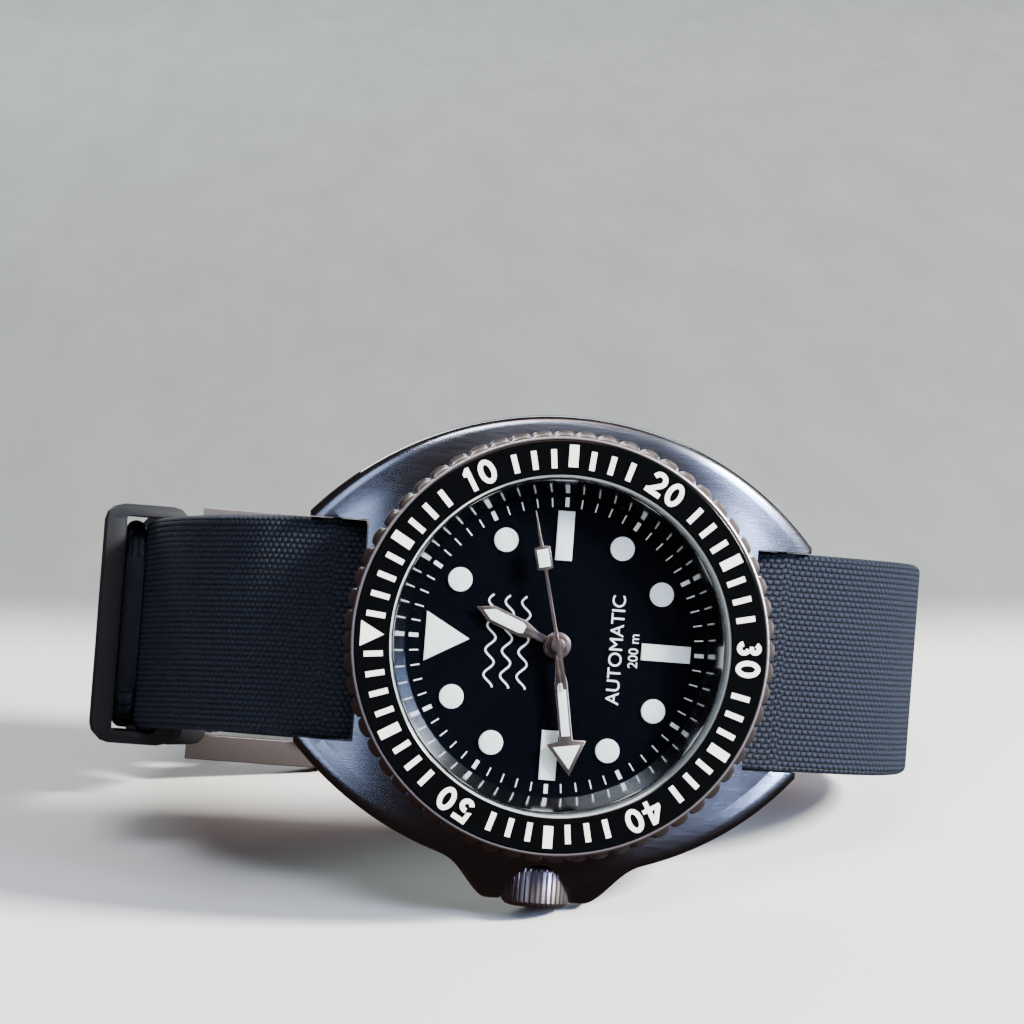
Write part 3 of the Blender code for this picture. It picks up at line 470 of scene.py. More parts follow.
# Silk-screened enamel: matt off-white, very slightly uneven.
white_enamel, tree, shader = new_material("printed white enamel", {
    "Base Color": colour("#e6e8e2"), "Roughness": 0.45})
uneven(tree, shader, 3.0, 4.0, (), ("#dcdfd9", "#f0f1ea"))

# Luminous compound: cream-grey, grainy and matt.
lume, tree, shader = new_material("luminous compound", {
    "Base Color": colour("#ebe9e0"), "Roughness": 0.6})
uneven(tree, shader, 5.0, 6.0, (), ("#e2e0d8", "#f6f3ea"), (0.15, 0.0001))


def dial_point(minute, radius):
    """X and Y of a place on the dial or bezel, by its minute and its radius."""
    a = 2 * math.pi * minute / 60
    return Vector((-radius * math.cos(a), radius * math.sin(a), 0.0))


def marks_round_dial(name, minutes, radius, width, length, low, thick, material):
    """Bars laid round the dial's axis, one at each minute, by Geometry Nodes."""
    middle = Vector((0, 0, low + thick / 2))
    points = bpy.data.meshes.new(name)
    points.from_pydata([dial_point(m, radius) + middle for m in minutes], [], [])
    facing = points.attributes.new("facing", 'FLOAT', 'POINT')
    for i, minute in enumerate(minutes):
        facing.data[i].value = math.pi - 2 * math.pi * minute / 60
    carrier = in_scene(name, points)
    tree = bpy.data.node_groups.new(name, 'GeometryNodeTree')
    tree.interface.new_socket("Geometry", in_out='INPUT', socket_type='NodeSocketGeometry')
    for label in ("Length", "Width", "Thickness"):
        tree.interface.new_socket(label, in_out='INPUT', socket_type='NodeSocketFloat')
    tree.interface.new_socket("Geometry", in_out='OUTPUT', socket_type='NodeSocketGeometry')
    inputs = add_node(tree, "NodeGroupInput")
    size = add_node(tree, "ShaderNodeCombineXYZ", {}, {"X": inputs.outputs["Length"],
                                                      "Y": inputs.outputs["Width"],
                                                      "Z": inputs.outputs["Thickness"]})
    bar = add_node(tree, "GeometryNodeMeshCube", {}, {"Size": size.outputs["Vector"]})
    angle = add_node(tree, "GeometryNodeInputNamedAttribute",
                     {"data_type": 'FLOAT', "Name": "facing"})
    rotation = add_node(tree, "ShaderNodeCombineXYZ", {}, {"Z": angle.outputs["Attribute"]})
    laid = add_node(tree, "GeometryNodeInstanceOnPoints", {},
                    {"Points": inputs.outputs["Geometry"], "Instance": bar.outputs["Mesh"],
                     "Rotation": rotation.outputs["Vector"]})
    real = add_node(tree, "GeometryNodeRealizeInstances", {},
                    {"Geometry": laid.outputs["Instances"]})
    coat = add_node(tree, "GeometryNodeSetMaterial", {"Material": material},
                    {"Geometry": real.outputs["Geometry"]})
    add_node(tree, "NodeGroupOutput", {}, {"Geometry": coat.outputs["Geometry"]})
    step = carrier.modifiers.new("marks", 'NODES')
    step.node_group = tree
    values = {"Length": length, "Width": width, "Thickness": thick}
    for item in tree.interface.items_tree:
        if item.name in values and item.in_out == 'INPUT':
            step[item.identifier] = values[item.name]
    made = mesh_from(carrier)
    made.materials.clear()
    return made


def slab(outline, low, high, bevel=0.0, holes=()):
    """A flat piece from its outline, with an optional bevelled top edge."""
    curve = bpy.data.curves.new("slab", 'CURVE')
    curve.dimensions = '2D'
    curve.fill_mode = 'BOTH'
    curve.extrude = (high - low) / 2 - bevel
    curve.bevel_depth = bevel
    curve.bevel_resolution = 2
    curve.offset = -bevel
    for loop in (outline, *holes):
        spline = curve.splines.new('POLY')
        spline.points.add(len(loop) - 1)
        for point, (x, y) in zip(spline.points, loop):
            point.co = (x, y, 0.0, 1.0)
        spline.use_cyclic_u = True
    shape = bmesh.new()
    shape.from_mesh(mesh_from(in_scene("slab", curve)))
    bmesh.ops.translate(shape, vec=(0, 0, (high + low) / 2), verts=shape.verts)
    return mesh_of(shape, "slab")


def arc(radius, count, centre=(0, 0), start=0.0, end=360.0):
    whole = abs(end - start) >= 360.0
    steps = count if whole else count - 1
    angles = [math.radians(start + (end - start) * i / steps) for i in range(count)]
    return [(centre[0] + radius * math.cos(a), centre[1] + radius * math.sin(a)) for a in angles]


def merged(meshes):
    """Join several meshes into one."""
    shape = bmesh.new()
    for each in meshes:
        shape.from_mesh(each)
    made = bpy.data.meshes.new("merged")
    shape.to_mesh(made)
    shape.free()
    return made


def at_minute(mesh, minute, radius, height=0.0):
    """Move a mesh drawn with +X outwards to its minute and radius on the dial."""
    a = math.pi - 2 * math.pi * minute / 60
    mesh.transform(Matrix.Rotation(a, 4, 'Z') @ Matrix.Translation((radius, 0, height)))
    return mesh


insert_top = 12.5
print_low, print_thick = insert_top - 0.02, 0.035
bezel_offset = -0.07
plain = [m for m in range(1, 60) if m % 5 != 0 and m not in (9, 11, 19, 21, 29, 31, 39, 41, 49, 51)]
ticks = marks_round_dial("insert_ticks", [m + bezel_offset for m in plain], 16.8, 0.5, 1.7,
                         print_low, print_thick, white_enamel)
finish_piece("insert_tick_marks", ticks, "bezel", [white_enamel])
bars = marks_round_dial("insert_bars", [m + bezel_offset for m in (5, 15, 25, 35, 45, 55)], 17.07,
                        0.86, 2.0, print_low, print_thick, lume)
triangle = slab([(-1.05, 0.0), (1.05, -1.15), (1.05, 1.15)], print_low, print_low + print_thick)
at_minute(triangle, bezel_offset, 16.92)
finish_piece("insert_long_marks", merged([bars, triangle]), "bezel", [lume])

numeral_height, stroke = 2.25, 0.46


def ribbon(points, width):
    """Outline of a stroke of even width along a line of points."""
    left, right = [], []
    for i, p in enumerate(points):
        a = Vector(points[max(i - 1, 0)])
        b = Vector(points[min(i + 1, len(points) - 1)])
        d = (b - a).normalized()
        side = Vector((-d.y, d.x)) * width / 2
        left.append((p[0] + side.x, p[1] + side.y))
        right.append((p[0] - side.x, p[1] - side.y))
    return left + right[::-1]


def digit(kind):
    """Strokes of a digit in a box 1.3 wide and as high as the numerals, centred on its middle."""
    w, h = 0.77, numeral_height / 2
    s = stroke / 2
    if kind == "0":
        outer = arc(1.0, 28)
        ring = [(x * w, y * h) for x, y in outer]
        hole = [(x * (w - stroke), y * (h - stroke)) for x, y in outer]
        return [(ring, [hole])]
    if kind == "1":
        return [([(-0.05, h), (0.3, h), (0.3, -h), (-0.14, -h), (-0.14, h - 0.75),
                  (-0.42, h - 0.72), (-0.42, h - 0.4)], [])]
    if kind == "2":
        bow = arc(w - s, 12, (0, h - (w - s) - s), 170, -40)
        return [(ribbon(bow + [(-w + s, -h + s)], stroke), []),
                ([(-w, -h), (w, -h), (w, -h + stroke), (-w, -h + stroke)], [])]
    if kind == "3":
        top = arc(0.36, 10, (-0.02, h - 0.36 - s), 165, -80)
        low = arc(0.42, 12, (-0.02, -h + 0.42 + s), 80, -170)
        return [(ribbon(top, stroke), []), (ribbon(low, stroke), []),
                ([(-0.2, 0.27 - s), (0.1, 0.27 - s), (0.1, 0.27 + s * 0.6),
                  (-0.2, 0.27 + s * 0.6)], [])]
    if kind == "4":
        return [([(0.08, h), (0.5, h), (0.5, -h), (0.08, -h)], []),
                ([(-w - 0.05, -0.52), (w + 0.1, -0.52), (w + 0.1, -0.13), (-w - 0.05, -0.13)], []),
                (ribbon([(0.2, h - 0.1), (-w + 0.13, -0.3)], stroke * 0.95), [])]
    if kind == "5":
        low = arc(0.44, 14, (-0.04, -h + 0.44 + s), 110, -160)
        return [(ribbon(low, stroke), []),
                ([(-w + 0.1, h), (-w + 0.1 + stroke * 0.95, h), (-w + 0.42, 0.05),
                  (-w + 0.02, -0.1)], []),
                ([(-w + 0.1, h - stroke), (w - 0.08, h - stroke), (w - 0.08, h),
                  (-w + 0.1, h)], [])]
    return []


def numeral(text):
    """A two-figure numeral drawn upright, its top along +X (outwards on the bezel)."""
    made = []
    for i, kind in enumerate(text):
        shift = (i - 0.5) * 1.84 + (0.16 if kind == "1" else 0.0)
        for outline, holes in digit(kind):
            lift = 0.002 * len(made)
            moved = [(x + shift, y) for x, y in outline]
            moved_holes = [[(x + shift, y) for x, y in hole] for hole in holes]
            made.append(slab(moved, print_low, print_low + print_thick + lift, 0.0, moved_holes))
    joined = merged(made)
    joined.transform(Matrix.Rotation(-math.pi / 2, 4, 'Z'))
    return joined


numerals = merged([at_minute(numeral(str(m)), m + bezel_offset, 16.93)
                   for m in (10, 20, 30, 40, 50)])
finish_piece("insert_numerals", numerals, "bezel", [white_enamel])

# --- Dial: lacquered brass disc with raised lume plots and a printed minute track ----------------
# Nearly black blue lacquer, a thin print and thick luminous plots poured into their shapes.
# Gloss lacquer over brass: blue-black, smooth, with a trace of orange peel.
dial_lacquer, tree, shader = new_material("blue black lacquer", {
    "Base Color": colour("#04060b"), "Roughness": 0.22, "Specular IOR Level": 0.25})
uneven(tree, shader, 1.6, 3.0, (), ("#020307", "#05070d"), (0.05, 0.0001))
dial_top, dial_under = 7.9, 7.5
dial_mesh = mesh_of(turn_profile([(1.0, dial_top), (14.3, dial_top), (14.3, dial_under),
                                  (1.0, dial_under)], 192, True), "dial")
finish_piece("dial_plate", dial_mesh, "watch", [dial_lacquer], ["dial"], 30)

track_low, track_thick = dial_top - 0.02, 0.035
track = marks_round_dial("track", [m for m in range(60) if m % 5], 12.95, 0.11, 0.8, track_low,
                         track_thick, white_enamel)
hours = marks_round_dial("hours", [m for m in range(0, 60, 5)], 13.0, 0.36, 0.85, track_low,
                         track_thick, white_enamel)
finish_piece("minute_track", merged([track, hours]), "watch", [white_enamel])


def dial_words(text, size, x):
    """A printed line of plain lettering, centred x millimetres below the dial's middle."""
    letters = bpy.data.curves.new("words", 'FONT')
    letters.body = text
    letters.size = size
    letters.align_x = 'CENTER'
    letters.align_y = 'CENTER'
    letters.extrude = track_thick / 2
    made = mesh_from(in_scene("words", letters))
    made.materials.clear()
    made.transform(Matrix.Translation((x, 0, track_low + track_thick / 2))
                   @ Matrix.Rotation(math.pi / 2, 4, 'Z'))
    return made


# Three waves printed above the middle of the dial.
swell = []
for row in range(3):
    line = [(-6.0 + 1.5 * row + 0.42 * math.cos(2 * math.pi * step / 16), -4.2 + 0.14 * step)
            for step in range(61)]
    swell.append(slab(ribbon(line, 0.17), track_low, track_low + track_thick))
words = [dial_words("AUTOMATIC", 1.72, 5.45), dial_words("200 m", 1.25, 7.05)]
finish_piece("dial_printing", merged(words + swell), "watch", [white_enamel])

plot_high = dial_top + 0.28
bar_shape = [(-2.25, -0.76), (2.25, -0.76), (2.25, 0.76), (-2.25, 0.76)]
plots = []
for outline, bevel, radius, minutes in (
        (arc(1.1, 40), 0.09, 10.6, (5, 10, 20, 25, 35, 40, 50, 55)),
        (bar_shape, 0.08, 9.95, (15, 30, 45)),
        ([(2.0, -2.25), (2.0, 2.25), (-2.0, 0.0)], 0.08, 9.95, (0,))):
    plots += [at_minute(slab(outline, track_low, plot_high, bevel), m, radius) for m in minutes]
finish_piece("lume_plots", merged(plots), "watch", [lume], sharp=50)

# --- Hands: stamped and diamond-cut steel with luminous inlays ------------------------------------
# Polished nickel-plated steel filled with lume; its brownish pink base colour is a painted
# reflection of the warm dark room.
hand_steel, tree, shader = new_material("polished hand steel", {
    "Base Color": colour("#b39c94"), "Metallic": 1.0, "Roughness": 0.32})
uneven(tree, shader, 1.5, 3.0, (0.26, 0.4))


def hand_outline(boss, blade, tail=()):
    """Outline of a hand along +X: pairs of distance and half width, with a round boss."""
    start = math.degrees(math.asin(blade[0][1] / boss))
    upper = list(blade[1:])
    loop = [(x, -w) for x, w in upper] + [(x, w) for x, w in upper[::-1] if w > 0.0]
    back = math.degrees(math.asin(tail[0][1] / boss)) if tail else 0.0
    loop += arc(boss, 14, start=start, end=180 - back)
    if tail:
        loop += [(-x, w) for x, w in tail[1:]] + [(-x, -w) for x, w in tail[:0:-1]]
    loop += arc(boss, 14, start=180 + back, end=360 - start)[(0 if tail else 1):]
    return loop


def lay_hand(name, body, angle, low, high, outline, hole, inlays, bevel=0.05):
    """A steel hand turned clockwise from twelve by an angle, and the lume in its openings."""
    holes = [arc(hole, 24)] if hole else []
    steel = slab(outline, low, high, bevel, holes)
    turn = Matrix.Rotation(math.radians(180 - angle), 4, 'Z')
    steel.transform(turn)
    finish_piece(name, steel, body, [hand_steel], [name.replace("_steel", "")], 40)
    fill = merged([slab(each, high - 0.06, high + 0.03, 0.02) for each in inlays])
    fill.transform(turn)
    finish_piece(name.replace("_steel", "_lume"), fill, body, [lume], sharp=50)


lay_hand("hour_hand_steel", "hour_hand", 21.7, 8.45, 8.65,
         hand_outline(1.25, ((0, 0.35), (2.2, 0.38), (3.4, 0.78), (6.6, 0.78), (8.1, 0.0))), 0.9,
         [[(3.3, -0.35), (3.7, -0.52), (6.45, -0.52), (7.4, 0.0), (6.45, 0.52), (3.7, 0.52),
           (3.3, 0.35)]])
lay_hand("minute_hand_steel", "minute_hand", 260.65, 8.9, 9.1,
         hand_outline(1.1, ((0, 0.35), (2.2, 0.38), (3.4, 0.58), (8.6, 0.58), (8.8, 1.8),
                            (11.8, 0.0))),
         0.64, [[(3.4, -0.25), (3.7, -0.38), (8.2, -0.38), (8.2, 0.38), (3.7, 0.38), (3.4, 0.25)],
                [(9.1, -1.25), (11.2, 0.0), (9.1, 1.25)]])
lay_hand("second_hand_steel", "second_hand", 76.3, 9.45, 9.6,
         hand_outline(0.63, ((0, 0.15), (6.9, 0.15), (7.0, 0.72), (9.0, 0.72), (9.1, 0.15),
                             (12.35, 0.05)), ((0, 0.2), (4.0, 0.2))), 0.0,
         [[(7.2, -0.52), (8.8, -0.52), (8.8, 0.52), (7.2, 0.52)]], 0.03)

# --- Crown: fluted stainless steel, screwed down on its tube --------------------------------------
# Knurled by milling; the flat end is turned and slightly domed.
def crown_blank():
    flutes, fine = 38, 8
    count = flutes * fine
    tip = 23.9
    section = [(0.0, 0.0, 0), (1.6, 0.02, 0), (2.4, 0.08, 0), (2.75, 0.2, 0), (2.9, 0.34, 0.4),
               (3.08, 0.55, 1), (3.08, 3.3, 1), (2.95, 3.55, 0.3), (2.8, 3.68, 0), (1.62, 3.7, 0),
               (1.62, 1.7, 0), (0.0, 1.7, 0)]
    shape = bmesh.new()
    rings = []
    for r, depth, fluted in section:
        if r == 0.0:
            rings.append([shape.verts.new((0, -tip + depth, crown_height))] * count)
            continue
        ring = []
        for j in range(count):
            share = (j % fine) / fine
            groove = 0.17 * fluted * max(math.cos(2 * math.pi * share), -0.3)
            a = 2 * math.pi * j / count
            here = r - max(groove, 0.0)
            ring.append(shape.verts.new((here * math.cos(a), -tip + depth,
                                         crown_height + here * math.sin(a))))
        rings.append(ring)
    skin(shape, rings)
    return mesh_of(shape, "crown")


finish_piece("crown_knob", crown_blank(), "crown", [satin_steel], ["crown"], 35)

# --- Strap: two pieces of rubber-backed woven tape ------------------------------------------------
# Dark navy polyester, woven in ribs half a millimetre apart, with rounded heat-sealed edges.
# Each piece is rolled round its bars, and its route is the closed loop of a buckled strap.
strap_width, strap_thick, strap_gap = 20.0, 1.8, 0.15
buckle_at = (-31.2, -43.6)
bar_top = bar_place[1] + 0.86
strap_start = (17.95, 4.3)
short_guides = ((-bar_place[0], bar_top), (-26.8, 1.5), (-32.7, -4.8), (-36.2, -12.6),
                (-37.3, -21.0), (-36.9, -29.5), (-35.0, -37.2), buckle_at)
long_guides = ((bar_place[0], bar_top), (26.6, 2.6), (31.6, -1.6), (34.6, -8.5), (35.0, -17.0),
               (32.6, -25.5), (27.4, -32.8), (19.6, -37.8), (9.5, -40.2), (-2.0, -40.9),
               (-13.0, -40.9), (-19.2, -41.3), (-25.3, -44.7), (-30.2, -46.4), (-33.5, -45.1))


def smooth_path(guides, count):
    """Catmull-Rom curve through the guide points, with count points on each stretch."""
    ends = [tuple(2 * a - b for a, b in zip(guides[0], guides[1]))] + list(guides)
    ends.append(tuple(2 * a - b for a, b in zip(guides[-1], guides[-2])))
    points = []
    for p0, p1, p2, p3 in zip(ends, ends[1:], ends[2:], ends[3:]):
        for i in range(count):
            t = i / count
            points.append(tuple(0.5 * (2 * b + (c - a) * t + (2 * a - 5 * b + 4 * c - d) * t ** 2
                                       + (3 * b - a - 3 * c + d) * t ** 3)
                                for a, b, c, d in zip(p0, p1, p2, p3)))
    return points + [tuple(guides[-1])]


def lean(x, z):
    """Sideways sag of the strap: nothing at the lugs and most at the buckle."""
    fall = min(max((3.6 - z) / 47.2, 0.0), 1.1)
    share = min(max((33.0 - x) / 49.0, 0.0), 1.0)
    return -1.1 * fall * (3 - fall) * share * share * (3 - 2 * share)


def headings(path):
    made = []
    for i in range(len(path)):
        a = Vector(path[max(i - 1, 0)])
        b = Vector(path[min(i + 1, len(path) - 1)])
        made.append((b - a).normalized())
    return made


def beside(path, distance):
    """The path moved to its left by a distance."""
    return [(p[0] - d.y * distance, p[1] + d.x * distance) for p, d in zip(path, headings(path))]


def evenly(path, spacing):
    """The same path with points a set distance apart."""
    lengths = [0.0]
    for a, b in zip(path, path[1:]):
        lengths.append(lengths[-1] + (Vector(b) - Vector(a)).length)
    steps = int(lengths[-1] / spacing)
    made = []
    k = 0
    for i in range(steps + 1):
        want = lengths[-1] * i / steps
        while k < len(lengths) - 2 and lengths[k + 1] < want:
            k += 1
        share = (want - lengths[k]) / (lengths[k + 1] - lengths[k])
        made.append(tuple(a + (b - a) * share for a, b in zip(path[k], path[k + 1])))
    return made


def strap_section(columns=80):
    """Cross-section of the strap as (across, out) points round it, starting on the outer face."""
    half, out, edge = strap_width / 2, strap_thick / 2, 0.75
    flat = half - edge
    points = [(-flat + 2 * flat * i / columns, out) for i in range(columns + 1)]
    rounding = [math.radians(90 - 180 * i / 8) for i in range(1, 8)]
    points += [(flat + edge * math.cos(a), out * math.sin(a)) for a in rounding]
    points += [(flat - 2 * flat * i / 16, -out) for i in range(17)]
    points += [(-flat - edge * math.cos(a), -out * math.sin(a)) for a in rounding]
    return points


def strap_mesh(name, path, outer_side, rounded_tip=False):
    """Sweep the section along the path, with a UV map in millimetres."""
    step, tip_rows = 0.5, 6
    path = evenly(path, step)
    heads = headings(path)
    section = strap_section()
    shape = bmesh.new()
    uv = shape.loops.layers.uv.new("UVMap")
    rows = []
    count = len(path)
    for i, (p, d) in enumerate(zip(path, heads)):
        side = Vector((-d.y, d.x)) * outer_side
        row = []
        taper = 1.0
        left = count - 1 - i
        if rounded_tip and left < tip_rows:
            taper = math.sqrt(1 - ((tip_rows - left) / tip_rows) ** 2 * 0.6)
        for across, out in section:
            x, z = p[0] + side.x * out, p[1] + side.y * out
            row.append(shape.verts.new((x, across * taper + lean(x, z), z)))
        rows.append(row)
    size = len(section)
    for i in range(count - 1):
        for j in range(size):
            k = (j + 1) % size
            face = shape.faces.new((rows[i][j], rows[i][k], rows[i + 1][k], rows[i + 1][j]))
            corners = ((i, j), (i, k), (i + 1, k), (i + 1, j))
            for loop, (row, col) in zip(face.loops, corners):
                loop[uv].uv = (row * step, section[col][0])
    for row in (rows[0], rows[-1]):
        shape.faces.new(row)
    return mesh_of(shape, name)


def bar_loop(centre, inner=0.95, outer=1.78):
    """Rolled end of the strap round a bar, with a UV map in millimetres."""
    half = strap_width / 2
    upper = [(inner, half - 0.1), (outer - 0.35, half), (outer - 0.1, half - 0.1),
             (outer, half - 0.4)]
    lower = [(radius, -height) for radius, height in upper[::-1]]
    made = mesh_of(turn_profile(upper + lower, 40, True), "loop")
    uv = made.uv_layers.new(name="UVMap")
    for face in made.polygons:
        for corner in face.loop_indices:
            x, y, z = made.vertices[made.loops[corner].vertex_index].co
            turn = math.atan2(y, x)
            if face.center.x < 0.0 and face.center.y > 0.0 and turn < 0.0:
                turn += 2 * math.pi
            elif face.center.x < 0.0 and face.center.y < 0.0 and turn > 0.0:
                turn -= 2 * math.pi
            uv.data[corner].uv = (turn * outer, z)
    made.transform(Matrix.Translation((centre[0], lean(*centre), centre[1]))
                   @ Matrix.Rotation(math.pi / 2, 4, 'X'))
    return made


# Woven polyester: each thread is a small dome, and the base colour follows its height as painted
# shade in the gaps and a painted highlight on the thread tops.  The UV map is in millimetres, and a
# little noise keeps the rows from running dead straight.
woven, tree, shader = new_material("woven navy polyester", {
    "Base Color": colour("#121823"), "Roughness": 0.62, "Specular IOR Level": 0.3,
    "Sheen Weight": 0.06, "Sheen Roughness": 0.35, "Sheen Tint": colour("#8fa0c0")})
uv_map = add_node(tree, "ShaderNodeUVMap", {"uv_map": "UVMap"})
wobble = add_node(tree, "ShaderNodeTexNoise", {"Scale": 1.2, "Detail": 2.0},
                  {"Vector": uv_map.outputs["UV"]})
stray = add_node(tree, "ShaderNodeVectorMath", {"operation": 'SCALE', "Scale": 0.12},
                 {0: wobble.outputs["Color"]})
shifted = add_node(tree, "ShaderNodeVectorMath", {"operation": 'ADD'},
                   {0: uv_map.outputs["UV"], 1: stray.outputs["Vector"]})
threads = add_node(tree, "ShaderNodeSeparateXYZ", {}, {"Vector": shifted.outputs["Vector"]})
fibre_map = add_node(tree, "ShaderNodeMapping", {"Scale": (14.0, 14.0, 14.0)},
                     {"Vector": uv_map.outputs["UV"]})
fibre = add_node(tree, "ShaderNodeTexNoise", {"Scale": 1.0, "Detail": 3.0},
                 {"Vector": fibre_map.outputs["Vector"]})

# Ribs run along the strap every half millimetre; each is a row of short stitches, and every
# second row is shifted by half a stitch.
rib_pitch, stitch_length = 0.5, 0.56
weave = {"along": threads.outputs["X"], "across": threads.outputs["Y"],
         "fibre": fibre.outputs["Fac"]}
for result, operation, *values in (
        ("row", 'MULTIPLY', "across", 1 / rib_pitch), ("row_from_edge", 'ADD', "row", 200.0),
        ("row_number", 'FLOOR', "row_from_edge"), ("odd", 'MODULO', "row_number", 2.0),
        ("shift", 'MULTIPLY', "odd", 0.5), ("stitch", 'MULTIPLY', "along", 1 / stitch_length),
        ("stitch_shifted", 'ADD', "stitch", "shift"),
        ("rib_turn", 'MULTIPLY', "row", math.pi), ("rib_wave", 'SINE', "rib_turn"),
        ("rib", 'ABSOLUTE', "rib_wave"), ("rib_round", 'POWER', "rib", 0.7),
        ("bead_turn", 'MULTIPLY', "stitch_shifted", math.pi), ("bead_wave", 'SINE', "bead_turn"),
        ("bead", 'ABSOLUTE', "bead_wave"), ("bead_round", 'POWER', "bead", 0.8),
        ("bead_part", 'MULTIPLY', "bead_round", 0.75), ("bead_height", 'ADD', "bead_part", 0.25),
        ("threads", 'MULTIPLY', "rib_round", "bead_height"), ("fuzz", 'MULTIPLY', "fibre", 0.3),
        ("height", 'ADD', "threads", "fuzz"), ("tone", 'MULTIPLY', "height", 0.8)):
    numbers = {i: value for i, value in enumerate(values) if not isinstance(value, str)}
    sockets = {i: weave[value] for i, value in enumerate(values) if isinstance(value, str)}
    made = add_node(tree, "ShaderNodeMath", {"operation": operation, **numbers}, sockets)
    weave[result] = made.outputs["Value"]
relief = add_node(tree, "ShaderNodeBump", {"Strength": 1.0, "Distance": 0.0003},
                  {"Height": weave["height"]})
tree.links.new(relief.outputs["Normal"], shader.inputs["Normal"])
# Painted shade and highlight: the base colour is darker in the gaps between the threads and lighter
# on their tops.
shades = add_node(tree, "ShaderNodeValToRGB", {}, {"Fac": weave["tone"]})
shades.color_ramp.elements[0].color = colour("#020408")
shades.color_ramp.elements[1].color = colour("#182336")
tree.links.new(shades.outputs["Color"], shader.inputs["Base Color"])

short_path = smooth_path(short_guides, 4)
tail = beside(short_path, -(strap_thick + strap_gap))
tail_end = tuple(tail[i] for i in (26, 24, 20, 17, 14))     # back over the short piece
long_path = smooth_path((strap_start,) + long_guides + tail_end, 12)
fine_short = smooth_path(((-strap_start[0], strap_start[1]),) + short_guides, 12)
tang_slot = (-34.2, -3.5, -46.0), (-28.8, -0.9, -41.4)
slotted = [cut_away(each, [block(*tang_slot)])
           for each in (strap_mesh("short", fine_short[:-4], -1), bar_loop(buckle_at))]
short_mesh = merged(slotted + [bar_loop((-bar_place[0], bar_place[1]))])
finish_piece("strap_short_piece", short_mesh, "watch", [woven], ["strap_12"], 40)
long_mesh = merged([strap_mesh("long", long_path, 1, True), bar_loop(bar_place)])
finish_piece("strap_long_piece", long_mesh, "watch", [woven], ["strap_6"], 40)

# --- Buckle and keepers ---------------------------------------------------------------------------
# Frame and tang are stamped from satin steel and turn on the strap's bar; one keeper is fixed near
# the buckle and the other slides, and both are moulded rubber loops round the strap.
def softened(node, width, segments=3):
    """A copy of a model node with its sharp edges rounded over, back in the watch's millimetres."""
    mesh = frame["nodes"][node].data.copy()
    mesh.transform(in_mm.inverted())
    shape = bmesh.new()
    shape.from_mesh(mesh)
    bmesh.ops.remove_doubles(shape, verts=shape.verts, dist=1e-4)
    bmesh.ops.dissolve_limit(shape, angle_limit=math.radians(1), verts=shape.verts,
                             edges=shape.edges)
    made = mesh_of(shape, node)
    made.materials.clear()
    blank = in_scene(node + "_blank", made)
    step = blank.modifiers.new("edges", 'BEVEL')
    step.width = width
    step.segments = segments
    step.limit_method = 'ANGLE'
    step.angle_limit = math.radians(35)
    return mesh_from(blank)


def keeper_lining():
    """Dark rubber bands inside the free keeper, along its outer wall and at both of its ends:
    painted shade, dark sheets that close the see-through gap beside the strap.
    """
    at_keeper = 15
    spot, heading = short_path[at_keeper], headings(short_path)[at_keeper]
    away = Vector((heading.y, -heading.x))
    wall = Vector(spot) + away * (strap_thick * 1.5 + strap_gap + 0.42)
    turn = Matrix(((away.x, 0, heading.x), (0, 1, 0), (away.y, 0, heading.y))).to_4x4()
    place = Matrix.Translation((wall.x, lean(*wall), wall.y)) @ turn
    return [block((-0.24, -10.3, -3.3), (0.28, 10.3, 0.4), place),
            block((-4.4, 10.28, -2.6), (0.1, 10.6, 2.6), place),
            block((-4.4, -10.6, -2.6), (0.1, -10.28, 2.6), place)]


finish_piece("buckle_frame_steel", softened("buckle_frame", 0.95, 5), "buckle", [satin_steel],
             ["buckle_frame"], 40)
finish_piece("buckle_tang_steel", softened("buckle_tang", 0.12), "tang", [satin_steel],
             ["buckle_tang"], 40)
finish_piece("keeper_fixed_rubber", softened("keeper_fixed", 0.35), "watch", [black_rubber],
             ["keeper_fixed"], 40)
# The free keeper, with its dark bands of painted shade inside.
free_mesh = merged([softened("keeper_free", 0.4), *keeper_lining()])
finish_piece("keeper_free_rubber", free_mesh, "keeper", [black_rubber],
             ["keeper_free"], 40)

# --- Table and light ------------------------------------------------------------------------------
# A pale plastered table top with painted shade: its colour turns darker behind the watch, darkest
# in a band a few centimetres back and greyer towards the back, standing in for a dimly lit back
# wall.  A low warm light from the right throws the shadow to the left; wide soft boxes behind,
# above and at the front edge the steel.
plaster, tree, shader = new_material("plaster with painted shade", {"Roughness": 0.85})
place = add_node(tree, "ShaderNodeTexCoord")
turned_place = add_node(tree, "ShaderNodeMapping",
                        {"vector_type": 'TEXTURE', "Location": (0.005, 0.083, 0),
                         "Rotation": (0, 0, math.radians(-16))},
                        {"Vector": place.outputs["Object"]})
split = add_node(tree, "ShaderNodeSeparateXYZ", {}, {"Vector": turned_place.outputs["Vector"]})
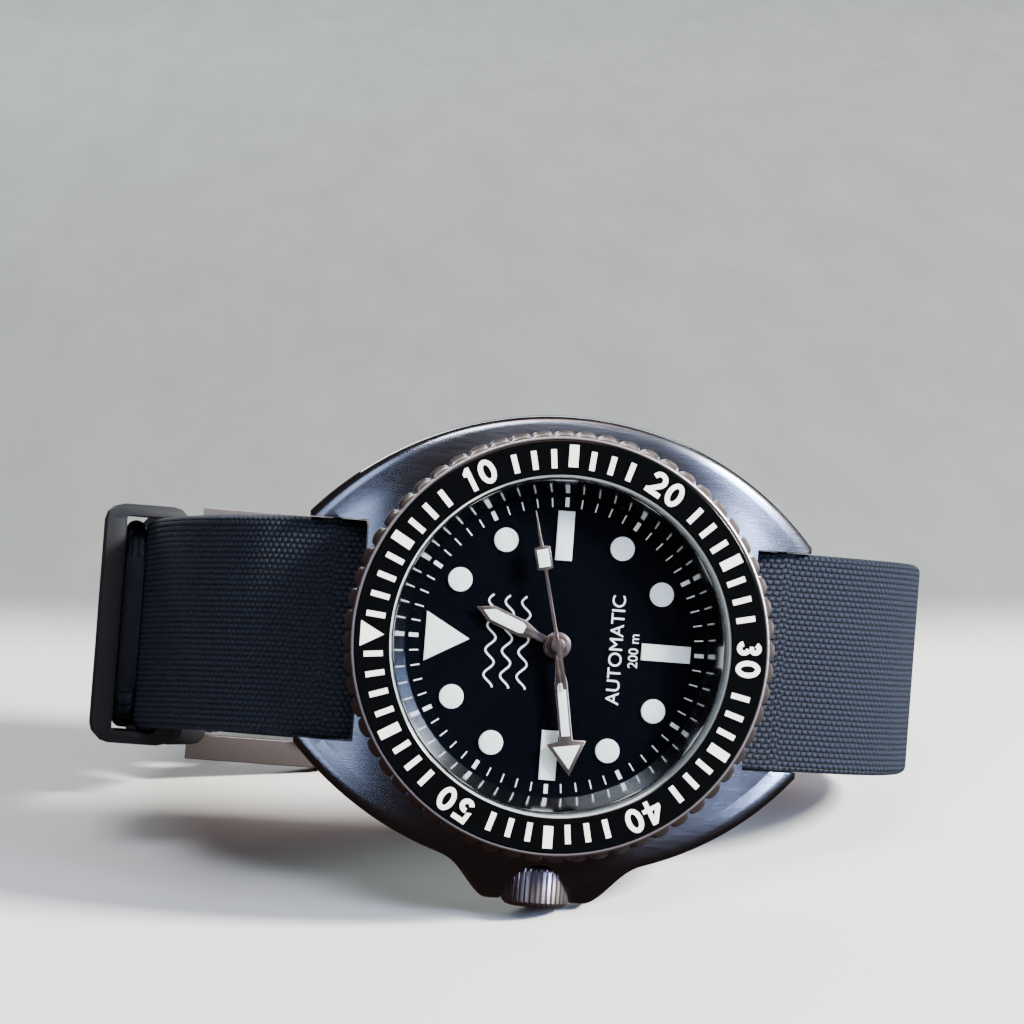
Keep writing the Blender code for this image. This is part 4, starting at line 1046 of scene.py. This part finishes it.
# Painted shade: the ramp darkens the table with distance behind the watch, with a darker band at
# 0.055 along the way.
away = add_node(tree, "ShaderNodeMapRange", {"From Min": -0.026, "From Max": 0.55},
                {"Value": split.outputs["Y"]})
shades = add_node(tree, "ShaderNodeValToRGB", {}, {"Fac": away.outputs["Result"]})
shades.color_ramp.interpolation = 'EASE'
shades.color_ramp.elements[0].color = colour("#eef1ee")
shades.color_ramp.elements[1].color = colour("#a8b0ad")
shades.color_ramp.elements.new(0.055).color = colour("#848b89")
flat_grain = add_node(tree, "ShaderNodeMapping", {"Scale": (1.0, 0.2, 1.0)},
                      {"Vector": place.outputs["Object"]})
mottle = add_node(tree, "ShaderNodeTexNoise", {"Scale": 90.0, "Detail": 8.0, "Roughness": 0.65},
                  {"Vector": flat_grain.outputs["Vector"]})
blend = add_node(tree, "ShaderNodeMixRGB", {"blend_type": 'OVERLAY', "Fac": 0.22},
                 {"Color1": shades.outputs["Color"], "Color2": mottle.outputs["Fac"]})
tree.links.new(blend.outputs["Color"], shader.inputs["Base Color"])
table_shape = bmesh.new()
bmesh.ops.create_grid(table_shape, x_segments=8, y_segments=8, size=3.0)
table_mesh = bpy.data.meshes.new("table")
table_shape.to_mesh(table_mesh)
table_shape.free()
table_mesh.materials.append(plaster)
table = in_scene("table", table_mesh)
# A dark room, and not the pale table, shows in the polished steel and the crystal.
table.visible_glossy = False


def light(name, place, aim, size, power, tint):
    """A soft box facing the point it is aimed at."""
    lamp = bpy.data.lights.new(name, 'AREA')
    lamp.shape = 'RECTANGLE'
    lamp.size, lamp.size_y = size
    lamp.energy = power
    lamp.color = colour(tint)[:3]
    made = in_scene(name, lamp)
    made.location = place
    made.rotation_euler = (Vector(aim) - Vector(place)).to_track_quat('-Z', 'Y').to_euler()


on_watch = (0, 0, 0.02)
light("key", (0.60, -0.33, 0.38), on_watch, (0.13, 0.13), 27.0, "#fff9f0")
light("back", (0.0, 1.25, 0.85), (0, 0.9, 0.0), (1.6, 0.4), 11.0, "#f4f8f4")
light("front", (-0.10, -0.50, 0.85), on_watch, (0.4, 0.2), 5.0, "#eef2ff")
light("above", (0.05, -0.30, 0.80), on_watch, (0.5, 0.2), 1.0, "#ffd0bc")
light("left", (-0.46, -0.64, 0.36), on_watch, (0.12, 0.35), 0.55, "#bccbec")
light("rear", (-0.25, 0.75, 0.30), on_watch, (0.35, 0.25), 1.2, "#eef2ff")
light("right", (0.57, -0.54, 0.30), on_watch, (0.12, 0.3), 6.0, "#b4caff")
world = bpy.data.worlds.new("room")
world.use_nodes = True
world.node_tree.nodes["Background"].inputs["Color"].default_value = colour("#5a4640")
world.node_tree.nodes["Background"].inputs["Strength"].default_value = 0.3
bpy.context.scene.world = world

# --- Camera ---------------------------------------------------------------------------------------
# It looks at the middle of the dial from 356 mm away, a few degrees off its axis.
eye_axes = Matrix(((0.9944, -0.0774, -0.0726), (0.0762, 0.9970, -0.0186), (0.0739, 0.0129, 0.9972)))
eye = Vector((-31.25, 5.01, 356.25 + insert_top))
lens = bpy.data.cameras.new("camera")
lens.lens = 140.6
lens.sensor_width = 36.0
lens.clip_start = 0.01
camera = in_scene("camera", lens)
camera.matrix_world = (watch @ Matrix.Translation(eye * 0.001)
                       @ eye_axes.to_quaternion().to_matrix().to_4x4())
bpy.context.scene.camera = camera
